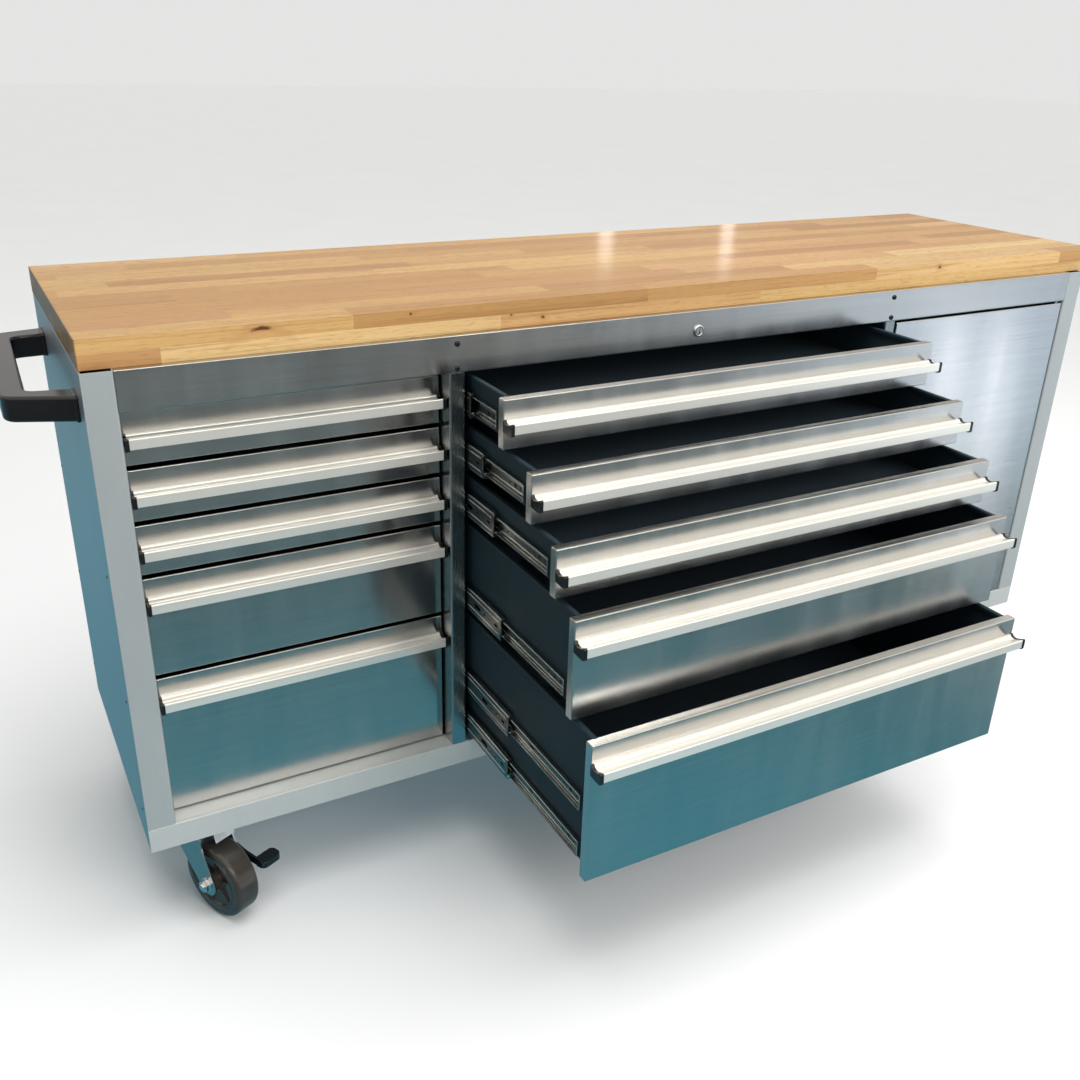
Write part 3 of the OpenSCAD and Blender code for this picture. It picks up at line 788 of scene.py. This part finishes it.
def make_slides():
    fixed = Build()
    low, high = corners("slide_channels")
    reach = CARRIAGE[0][0] * MM
    for key in DRAWERS:
        drawer, carriage = "drawer_" + key, "carriage_" + key
        c_low, c_high = corners(carriage)
        start = corners(drawer)[0].y + RUNNER_START
        moving, running = Build(), Build()
        for wall, inward in ((c_low.x - reach, 1), (c_high.x + reach, -1)):
            for z in slide_heights(carriage):
                slide_member(fixed, wall, inward, low.y, high.y, z, OUTER, 1)
                slide_member(moving, wall, inward, c_low.y, c_high.y, z, CARRIAGE, 3)
                ball_cage(moving, wall, inward, c_low.y, z)
                slide_member(running, wall, inward, start, start + SLIDE_LENGTH, z, RUNNER, 2)
                x0, x1 = sorted((wall + inward * 6.6 * MM, wall + inward * 12.4 * MM))
                running.box((x0, start - 1 * MM, z - 12.4 * MM), (x1, start + 0.4 * MM, z + 12.4 * MM),
                            0.4 * MM, 1)
        moving.done(carriage + "_member", [ZINC, CHROME, BLACK, SHADED_ZINC], carriage, "zinc_plate", carriage)
        running.done(drawer + "_runners", [ZINC, CHROME, SHADED_ZINC], drawer, "zinc_plate")
    fixed.done("slide_outer_members", [ZINC, SHADED_ZINC], "cabinet", "zinc_plate", "slide_channels")


def ball_cage(build, wall, inward, y, z):
    """The balls that run inside the carriage's flanges, their cage, and the stop at its front end."""
    ball = arc((0, 0), 1.75, -90, 90, 6)
    x, half = wall + inward * 7.4 * MM, 2.9 * MM
    for up in (-1, 1):
        height = z + up * 14.9 * MM
        for i in range(6):
            build.lathe(ball, shift((x, y + (6 + 7 * i) * MM, height)), 12, 1)
        cage = rectangle(x - half, y + 1 * MM, x + half, y + 46 * MM)
        build.prism(cage, "Z", height - 0.4 * MM, height + 0.4 * MM, 0.2 * MM, 1)
    x0, x1 = sorted((wall + inward * 3.4 * MM, wall + inward * 9.4 * MM))
    build.box((x0, y + 0.6 * MM, z - 16.6 * MM), (x1, y + 3.2 * MM, z - 10.5 * MM), 0.6 * MM, 1)


# ---------------- drawers

FRONT_DEPTH = 14 * MM
BOX_RISE = 12 * MM       # from a front's lower edge to its box
BOX_SHEET = 1.2 * MM
SLIDE_GAP = 9.7 * MM     # from a front's edge in to the side of its box, the slides' room


def make_drawers():
    for key in DRAWERS:
        body = "drawer_" + key
        low, high = corners(body)
        front = Build()
        face = rectangle(low.x, low.z, high.x, high.z)
        front.tray(face, "Y", low.y, low.y + FRONT_DEPTH, BOX_SHEET, 1.4 * MM)
        front.done(body + "_front", [BRUSHED], body, "brushed_steel", body)
        make_box(body, (low.x + SLIDE_GAP, low.y + FRONT_DEPTH - MM, low.z + BOX_RISE),
                 (high.x - SLIDE_GAP, high.y, high.z))


def make_box(body, low, high):
    """A folded box whose rims are hemmed inwards."""
    x0, y0, z0 = low
    x1, y1, z1 = high
    hem, drop, t = 8 * MM, 5 * MM, BOX_SHEET

    def rim(edge, inward):
        """Across a rim: up the wall, in, and down again."""
        wall, lip = edge + inward * t / 2, edge + inward * (hem - t / 2)
        return [(wall, z1 - 2.2 * MM), (wall, z1 - t / 2), (lip, z1 - t / 2), (lip, z1 - drop)]

    box = Build()
    box.tray(rectangle(x0, y0, x1, y1), "Z", z0, z1 - 1.5 * MM, t, 1.6 * MM)
    box.folded(rim(x0, 1), t, 1.4 * MM, "Y", y0, y1, 0.2 * MM, 1)
    box.folded(rim(x1, -1), t, 1.4 * MM, "Y", y0, y1, 0.2 * MM, 1)
    box.folded(rim(y1, -1), t, 1.4 * MM, "X", x0 + hem - t, x1 - hem + t, 0.2 * MM, 1)
    # faces inside the box take the paler copy of the paint: painted light in its shaded inside
    for face in box.bm.faces:
        x, y, z = face.calc_center_median()
        if x0 + t / 2 < x < x1 - t / 2 and y0 + t / 2 < y < y1 - t / 2 and z0 + t / 2 < z < z1 - 6 * MM:
            face.material_index = 1
    box.done(body + "_box", [DARK_PAINT, LIT_INNER_PAINT], body, "dark_paint")


# ---------------- pulls

PULL_SHEET = 1.2 * MM    # from the top of a pull's node down to its flange's top


def shelf_curve(lift):
    """The hollow shelf of a pull: it drops away from the front and rises again towards the bead."""
    fall = [(2 + 7.5 * (1 - math.cos(math.radians(a))), lift - 0.3 - 4.0 * math.sin(math.radians(a)))
            for a in range(0, 91, 10)]
    rise = [(9.5 + 11.5 * k / 8, lift - 0.9 - 3.4 * (0.5 + 0.5 * math.cos(math.pi * k / 8)))
            for k in range(1, 9)]
    return fall + rise


def pull_section():
    """Across a pull in mm: distance out of the front, and height from the top of its flange."""
    bead = arc((23.3, -0.8), 1.7, 165, 0, 9)
    lip = [(25, -12.4)] + arc((23.8, -12.4), 1.2, 0, -180, 6)[1:] + [(22.6, -2.9)]
    return [(0, 0), (1.5, 0)] + shelf_curve(0) + bead + lip + shelf_curve(-2.2)[::-1] + [(2, -15), (0, -15)]


def cap_section():
    """Across a pull's end cap, which stands a little proud of the pull all round."""
    shoulder = arc((23.3, -0.7), 2.2, 150, 0, 7)
    toe = arc((22.2, -13.0), 3.3, 0, -90, 6)
    return [(0, 0.7), (1.9, 0.7)] + shelf_curve(0.6) + shoulder + toe + [(13, -16.6), (4, -15.6), (0, -15.6)]


def pull_bar(build, face, top, x0, x1, matrix=None):
    """A pull along X whose flange is on a front at y = face."""
    cap, over, gap = 4.5 * MM, 1 * MM, 0.1 * MM

    def placed(section):
        return [(face - out, top + height) for out, height in mm(section)]

    build.prism(placed(pull_section()), "X", x0 + cap, x1 - cap, 0.1 * MM, 1, 0, matrix, angle=70)
    for a, b in ((x0 - over, x0 + cap - gap), (x1 - cap + gap, x1 + over)):
        build.prism(placed(cap_section()), "X", a, b, 0.5 * MM, 3, 1, matrix, angle=60)


def make_pulls():
    for key in DRAWERS:
        node, body = "pull_" + key, "drawer_" + key
        top = corners(node)[1].z - PULL_SHEET
        low, high = corners(body)
        pull = Build()
        pull_bar(pull, low.y, top, low.x, high.x)
        pull.done(node + "_bar", [ALUMINIUM, BLACK], body, "anodised_aluminium", node)


# ---------------- door

def make_door():
    low, high = corners("door")
    door = Build()
    door.tray(rectangle(low.x, low.z, high.x, high.z), "Y", low.y, high.y, SHEET, 1.6 * MM)
    # a welded stiffener behind the sheet
    middle, near, far = (low.x + high.x) / 2, low.y + 2 * MM, high.y - 3 * MM
    path = [(middle + x * MM, y) for x, y in ((-40, near), (-30, near), (-30, far), (30, far), (30, near),
                                              (40, near))]
    door.folded(path, 1.2 * MM, 2 * MM, "Z", low.z + 8 * MM, high.z - 8 * MM, 0.2 * MM)
    door.done("door_sheet", [DOOR_STEEL], "door", "brushed_steel", "door")

    p_low, p_high = corners("door_pull")
    pull = Build()
    # local X runs down the door, local Z towards the door's hinge
    stand = Matrix(((0, 0, 1, p_low.x), (0, 1, 0, low.y), (-1, 0, 0, p_high.z), (0, 0, 0, 1)))
    pull_bar(pull, 0, 15 * MM, 1 * MM, p_high.z - p_low.z - 1 * MM, stand)
    pull.done("door_pull_bar", [ALUMINIUM, BLACK], "door", "anodised_aluminium", "door_pull")

    pins = Build()
    low, high = corners("door_hinge_pins")
    r, tall = (high.x - low.x) / 2 / MM, 12
    section = [(0, 0), (r - 0.6, 0), (r, 0.6), (r, tall - 0.6), (r - 0.6, tall), (0, tall)]
    for z in (low.z, high.z - tall * MM):
        pins.lathe(section, shift(((low.x + high.x) / 2, (low.y + high.y) / 2, z)), 24)
    pins.done("door_pins", [CHROME], "cabinet", "zinc_plate", "door_hinge_pins")


# ---------------- push handle

def make_handle():
    low, high = corners("push_handle")
    handle = Build()
    part = cad_shape("push_handle")
    # the long edges above and below are rounded, but not the ends that meet the side panel
    rounding, panel = 4.5 * MM, high.x - 0.5 * MM
    rims = [e for e in part.edges if abs(e.verts[0].co.z - e.verts[1].co.z) < 10 * MERGE
            and min(v.co.x for v in e.verts) < panel]
    soften(part, rounding, 5, edges=rims)
    handle.add(part)
    # a low collar round the root of each arm
    for y0, y1 in ((low.y, low.y + 40 * MM), (high.y - 42 * MM, high.y)):
        ring = rectangle(y0 - MM, low.z - MM, y1 + MM, high.z + MM, 5 * MM, 6)
        handle.prism(ring, "X", high.x - 4.5 * MM, high.x - 0.1 * MM, 1.2 * MM, 4)
    handle.done("push_handle_grip", [BLACK], "cabinet", "black_plastic", "push_handle")


# ---------------- casters

LEG_INSIDE = 26 * MM     # from a fork's middle to its legs
LEG_SHEET = 3 * MM
BRAKE_RISE = 30 * MM     # from an axle up to its brake's pivot


def caster_frame(corner):
    """A caster's own axes, with +X along the axle, under its kingpin and on the floor; its axle's height;
    and how far the axle is from the kingpin, towards -Y."""
    axle, place = joint("roll_" + corner)
    pivot = joint("swivel_" + corner)[1]
    turn = Matrix.Rotation(math.atan2(axle.y, axle.x), 4, "Z")
    return shift((pivot.x, pivot.y, 0)) @ turn, place.z, (place - pivot).xy.length


def nut(build, matrix, across_corners, height):
    """A hexagonal nut or head with chamfered corners."""
    hexagon = circle((0, 0), across_corners / 2, 6)
    build.prism(hexagon, "Z", 0, height, 0.9 * MM, 2, 1, matrix, angle=50)


def make_casters():
    plates = Build()
    for corner in CASTERS:
        place, axle_z, trail = caster_frame(corner)
        make_plate(plates, shift(place.translation))
        make_fork(corner, place, axle_z, trail)
        make_wheel(corner, place, axle_z, trail)
    plates.done("caster_top_plates", [ZINC, CHROME], "cabinet", "zinc_plate", "caster_plates")


def make_plate(build, upright):
    bolts = mm((x, y) for x in (-38, 38) for y in (-30, 30))
    flat = upright @ shift((0, 0, FOOT - 1.5 * MM))
    build.plate(rectangle(-50 * MM, -42.5 * MM, 50 * MM, 42.5 * MM, 6 * MM),
                [circle(bolt, 4.3 * MM, 20) for bolt in bolts], 3 * MM, 0.4 * MM, flat)
    for x, y in bolts:
        nut(build, upright @ shift((x, y, FOOT - 8.4 * MM)), 14 * MM, 5.2 * MM)
    race = [(0, 0), (33, 0), (33, -3.4), (32.2, -5.2), (30.4, -6), (6, -6), (6, -16.2), (10, -16.4),
            (10, -20.4), (8.6, -21.7), (0, -21.7)]
    build.lathe(race, upright @ shift((0, 0, FOOT - 3 * MM)))


def make_fork(corner, place, axle_z, trail):
    crown = FOOT - 19 * MM
    middle = LEG_INSIDE + LEG_SHEET / 2
    fork = Build()
    path = [(-middle, crown - 10 * MM), (-middle, crown + 4.5 * MM), (middle, crown + 4.5 * MM),
            (middle, crown - 10 * MM)]
    fork.folded(path, LEG_SHEET, 6 * MM, "Y", -34 * MM, 34 * MM, 0.5 * MM, 2, place, 5)
    dome = [(6.1, 0), (22, 0), (24, 2.8), (31, 2.8), (31, 6.4), (29.6, 7.6), (27, 8), (24, 8.6), (20, 9.4),
            (6.1, 9.4)]
    fork.lathe(dome, place @ shift((0, 0, crown)), closed=True)
    # the crown's front edge is folded down
    lip = [(-33 * MM, crown + 4.5 * MM), (-37 * MM, crown + 3 * MM), (-41 * MM, crown - 12 * MM)]
    fork.folded(lip, 2 * MM, 2 * MM, "X", -8 * MM, 27 * MM, 0.4 * MM, 2, place)
    # each leg's outline: how far forward of the swivel, and how high
    outline = ([(-34 * MM, crown - 8 * MM), (-34 * MM, crown - 9 * MM), (-13 * MM, 100 * MM)]
               + arc((trail, axle_z), 19 * MM, 192, 376, 16)
               + [(34 * MM, crown - 14 * MM), (34 * MM, crown - 8 * MM)])
    hole = circle((trail, axle_z), 6.2 * MM, 24)
    washer = [(6.05, 0), (11.5, 0), (11.5, 1.0), (11, 1.4), (6.05, 1.4)]
    end = [(0, 6), (5.9, 6), (5.9, 8.2), (5.3, 8.8), (5.9, 9.4), (5.0, 10.3), (0, 10.3)]
    for side in (-1, 1):
        upright = place @ Matrix(((0, 0, 1, side * middle), (-1, 0, 0, 0), (0, 1, 0, 0), (0, 0, 0, 1)))
        fork.plate(outline, [hole], LEG_SHEET, 0.5 * MM, upright)
        axle = place @ shift((side * (LEG_INSIDE + LEG_SHEET + 0.1 * MM), -trail, axle_z))
        axle = axle @ facing("+X" if side > 0 else "-X")
        fork.lathe(washer, axle, 32, 1, closed=True)
        nut(fork, axle @ shift((0, 0, 1.3 * MM)), 20 * MM, 6.8 * MM)
        fork.lathe(end, axle, 24, 1)
    # the axle's sleeve between the legs
    axle = place @ shift((-LEG_INSIDE, -trail, axle_z)) @ facing("+X")
    fork.lathe([(0, -3), (6, -3), (6, 55), (0, 55)], axle, 24, 1)
    if corner.startswith("front"):
        pin = shift((LEG_INSIDE + LEG_SHEET - 0.5 * MM, -trail, axle_z + BRAKE_RISE))
        head = [(0, 0), (4, 0), (4, 6.5), (3.4, 6.5), (2.8, 6.3), (0, 6.3)]
        fork.lathe(head, place @ pin @ facing("+X"), 24, 1)
        make_brake(corner, place, axle_z, trail)
    fork.done(f"fork_{corner}_pressing", [ZINC, CHROME], "fork_" + corner, "zinc_plate", "fork_" + corner)


def make_brake(corner, place, axle_z, trail):
    """The foot pedal: an arm outside the right leg and a ribbed tread that sticks out sideways."""
    arm, pivot_z = 29.5 * MM, axle_z + BRAKE_RISE
    brake = Build()
    outline = arc((0, 0), 9, -90, 90, 10) + [(-20, 5), (-57, 4), (-60, 1), (-58, -7), (-40, -9)]
    outline = [(-a, b) for a, b in mm(outline)]
    upright = Matrix(((0, 0, 1, arm + 2 * MM), (-1, 0, 0, -trail), (0, 1, 0, pivot_z), (0, 0, 0, 1)))
    brake.plate(outline, [circle((0, 0), 4.1 * MM, 20)], 4 * MM, 0.7 * MM, place @ upright)
    tread = rectangle(arm + 1 * MM, -trail - 60 * MM, arm + 38 * MM, -trail - 37 * MM, 9 * MM, 6)
    brake.tray(tread, "Z", pivot_z - 1 * MM, pivot_z - 11 * MM, 2.4 * MM, 1.2 * MM, place)
    for i in range(4):
        x = arm + (8 + 7 * i) * MM
        brake.box((x, -trail - 56 * MM, pivot_z - 1.4 * MM),
                  (x + 2.2 * MM, -trail - 41 * MM, pivot_z - 0.2 * MM), 0.5 * MM, 0, place)
    brake.done(f"brake_{corner}_pedal", [BLACK], "brake_" + corner, "black_plastic", "brake_" + corner)


def make_wheel(corner, place, axle_z, trail):
    r, half, shoulder = axle_z / MM, 20, 7
    tread = (arc((r - shoulder, shoulder - half), shoulder, -90, -8, 7)
             + [(r, 9 - half), (r, 0), (r, half - 9)]
             + arc((r - shoulder, half - shoulder), shoulder, 8, 90, 7))
    face = [(6.1, -25.4), (15.2, -25.4), (16, -24.6), (16.4, -15), (18, -13.4), (38, -15), (41, -16.2),
            (42.4, -19.2), (44, -19.6), (45, -18.4), (47, -18.4), (48, -19.8), (52, -20)]
    wheel = Build()
    turn = place @ shift((0, -trail, axle_z)) @ facing("+X")
    wheel.lathe(face + tread + [(a, -b) for a, b in face[::-1]], turn, 96, closed=True)
    # ribs between the hub and the rim
    for z0, z1 in ((-17.6, -12), (12, 17.6)):
        for k in range(6):
            spin = turn @ Matrix.Rotation(math.radians(60 * k + 12), 4, "Z")
            low, high = mm([(14, -1.5, z0), (42.6, 1.5, z1)])
            wheel.box(low, high, 0.5 * MM, 0, spin)
    wheel.done(f"wheel_{corner}_tyre", [RUBBER], "wheel_" + corner, "caster_rubber", "wheel_" + corner)


# ---------------- floor, light, camera

def make_stage():
    mesh = bpy.data.meshes.new("floor")
    reach = 30
    mesh.from_pydata([(x, y, 0) for x, y in rectangle(-reach, -reach, reach, reach)], [], [(0, 1, 2, 3)])
    floor = bpy.data.objects.new("floor", mesh)
    bpy.context.scene.collection.objects.link(floor)
    n = Surface("pale_floor")
    cloud = n.noise(2.0, (1, 1, 1), 3, 0.5)
    floor.data.materials.append(n.finished(
        Base_Color=n.mix(cloud, (0.86, 0.86, 0.86), (0.90, 0.90, 0.90)), Roughness=0.85))
    floor.visible_glossy = False


DARK, LIT = (0, 0, 0), (1, 1, 1)


def bars(soft, *places):
    """The stops of a ramp that is lit in some ranges, with soft edges, and dark elsewhere."""
    return [stop for start, end in places
            for stop in ((start - soft, DARK), (start, LIT), (end, LIT), (end + soft, DARK))]


def make_world():
    """Soft surroundings. To the camera they are plain and pale. Metal mirrors a workshop: a blue-green floor,
    grey walls, a bright window beyond the cupboard's end and a warm white ceiling."""
    world = bpy.data.worlds.new("studio")
    bpy.context.scene.world = world
    world.use_nodes = True
    w = Tree(world.node_tree)
    w.tree.nodes.clear()
    x, y, z = w.split(w.node("ShaderNodeTexCoord").outputs["Generated"])
    ceiling = [(0.4, (1.0, 0.96, 0.9)), (1.0, (1.25, 1.18, 1.05))]

    # in front of the bench
    ahead = w.ramp(z, [
        (-1.0, (0.07, 0.26, 0.33)), (-0.62, (0.085, 0.34, 0.43)), (-0.54, (0.07, 0.27, 0.34)),
        (-0.49, (0.07, 0.20, 0.24)), (-0.42, (0.13, 0.175, 0.18)), (-0.30, (0.18, 0.185, 0.18)),
        (-0.10, (0.18, 0.185, 0.18)), (0.05, (0.30, 0.30, 0.29)), (0.22, (0.75, 0.72, 0.66)),
        (0.45, (1.15, 1.09, 0.98)), (1.0, (1.25, 1.18, 1.05))], -1, 1)
    window = w.ramp(w.maths("ADD", x, w.times(z, 0.72)), [
        (0.26, DARK), (0.42, (0.14, 0.16, 0.18)), (0.475, (0.22, 0.26, 0.30)), (0.51, (0.74, 0.79, 0.86)),
        (0.60, (0.64, 0.71, 0.82)), (0.75, (0.50, 0.56, 0.68))], 0.2, 0.8)
    window = w.mix(1, window, w.ramp(z, [
        (-0.44, DARK), (-0.36, (0.03, 0.10, 0.11)), (-0.30, (0.44, 0.60, 0.62)), (-0.22, (0.93, 1.0, 1.0)),
        (0.0, LIT), (0.3, DARK)], -0.6, 0.4), "MULTIPLY")
    ahead = w.mix(1, ahead, window, "ADD")
    # glare on the floor beyond the cupboard's end, and three lamps high up in front
    bearing = w.maths("DIVIDE", x, w.maths("MAXIMUM", w.times(y, -1.0), 0.05))
    glare = w.ramp(bearing, [
        (1.160, DARK), (1.187, LIT), (1.197, LIT), (1.224, DARK),
        (1.262, DARK), (1.289, LIT), (1.301, LIT), (1.330, DARK)], 1.0, 1.5)
    level = w.ramp(z, [(-0.40, DARK), (-0.30, LIT), (-0.23, LIT), (-0.18, DARK)], -0.6, 0.2)
    ahead = w.mix(w.mix(1, glare, level, "MULTIPLY"), ahead, (2.6, 2.6, 2.7))
    lamps = w.ramp(bearing, bars(0.02, (-0.48, -0.28), (0.04, 0.24), (0.52, 0.72)), -1.0, 2.0)
    level = w.ramp(z, bars(0.02, (0.50, 0.60)))
    ahead = w.mix(w.mix(1, lamps, level, "MULTIPLY"), ahead, (9.0, 8.6, 8.0))

    # behind it, greyer towards the right
    behind = w.ramp(z, [
        (-1.0, (0.09, 0.27, 0.34)), (-0.5, (0.11, 0.30, 0.38)), (-0.38, (0.15, 0.38, 0.49)),
        (-0.22, (0.19, 0.33, 0.39)), (-0.1, (0.28, 0.33, 0.35)), (0.0, (0.45, 0.45, 0.46)),
        (0.15, (0.55, 0.52, 0.52))] + ceiling, -1, 1)
    greyer = w.ramp(z, [(-1.0, (0.26, 0.29, 0.30)), (-0.2, (0.36, 0.38, 0.39)), (0.0, (0.45, 0.45, 0.46)),
                        (0.15, (0.55, 0.52, 0.52))] + ceiling, -1, 1)
    behind = w.mix(w.ramp(x, [(0.05, DARK), (0.35, LIT)], -1, 1), behind, greyer)
    # two strip lamps far behind it, low over the top's far edge
    bearing = w.maths("DIVIDE", x, w.maths("MAXIMUM", y, 0.05))
    strips = w.ramp(bearing, bars(0.008, (0.625, 0.634), (0.785, 0.794)), 0.55, 0.85)
    level = w.ramp(z, [(0.095, DARK), (0.115, LIT), (0.160, LIT), (0.185, DARK)], 0, 0.3)
    behind = w.mix(w.mix(1, strips, level, "MULTIPLY"), behind, (7.0, 6.6, 6.4))
    mirrored = w.mix(w.ramp(y, [(-0.15, DARK), (0.25, LIT)], -1, 1), ahead, behind)

    # soft light on everything that isn't a mirror: strong from above and ahead, weak from the left
    from_above = w.ramp(z, [(-1.0, (0.20, 0.22, 0.23)), (-0.2, (0.42, 0.44, 0.45)), (0.1, (0.75, 0.75, 0.76)),
                            (0.5, (1.05, 1.04, 1.02)), (1.0, (1.15, 1.13, 1.10))], -1, 1)
    side = w.ramp(x, [(-1.0, (0.05, 0.08, 0.09)), (-0.55, (0.20, 0.27, 0.29)), (-0.1, LIT),
                      (1.0, (1.1, 1.1, 1.1))], -1, 1)
    soft = w.mix(1, from_above, side, "MULTIPLY")

    path = w.node("ShaderNodeLightPath")
    seen = w.mix(path.outputs["Is Glossy Ray"], soft, mirrored)
    seen = w.mix(path.outputs["Is Camera Ray"], seen, (0.78, 0.78, 0.775))
    background = w.node("ShaderNodeBackground", Color=seen)
    w.node("ShaderNodeOutputWorld", Surface=background.outputs["Background"])


def area_light(name, place, target, size, power):
    data = bpy.data.lights.new(name, "AREA")
    data.shape = "RECTANGLE"
    data.size, data.size_y = size
    data.energy = power
    lamp = bpy.data.objects.new(name, data)
    lamp.location = place
    lamp.visible_glossy = False
    aim = Vector(target) - Vector(place)
    lamp.rotation_euler = aim.to_track_quat("-Z", "Y").to_euler()
    bpy.context.scene.collection.objects.link(lamp)


def make_lights():
    area_light("overhead", (0.2, -0.6, 3.4), (0, -0.1, 0.5), (3.4, 2.0), 66)
    area_light("front_fill", (1.0, -3.3, 2.3), (0, 0, 0.4), (2.4, 1.8), 58)


# The camera, measured from the cabinet's lower left front corner
CAMERA_OFFSET = Vector((-0.12808, -1.34057, 1.07131))
CAMERA_YAW = math.radians(29.26)
CAMERA_PITCH = math.radians(-24.45)
CAMERA_ROLL = math.radians(1.67)
CAMERA_LENS = 36.39
CAMERA_SENSOR = 36


def make_camera():
    level = Vector((math.sin(CAMERA_YAW), math.cos(CAMERA_YAW), 0)) * math.cos(CAMERA_PITCH)
    forward = level + Vector((0, 0, math.sin(CAMERA_PITCH)))
    right = Vector((math.cos(CAMERA_YAW), -math.sin(CAMERA_YAW), 0))
    up = right.cross(forward)
    right, up = (right * math.cos(CAMERA_ROLL) + up * math.sin(CAMERA_ROLL),
                 up * math.cos(CAMERA_ROLL) - right * math.sin(CAMERA_ROLL))
    data = bpy.data.cameras.new("camera")
    data.sensor_width = CAMERA_SENSOR
    data.lens = CAMERA_LENS
    camera = bpy.data.objects.new("camera", data)
    rotation = Matrix((right, up, -forward)).transposed()
    place = Vector((LEFT, FRONT, FOOT)) + CAMERA_OFFSET
    camera.matrix_world = shift(place) @ rotation.to_4x4()
    bpy.context.scene.collection.objects.link(camera)
    bpy.context.scene.camera = camera


bpy.context.scene.view_settings.view_transform = "Standard"
make_camera()
make_stage()
make_world()
make_lights()
make_worktop()
make_sides()
make_posts()
make_partitions()
make_sill()
make_header()
make_panels()
make_screws()
make_lock()
make_slides()
make_drawers()
make_pulls()
make_door()
make_handle()
make_casters()
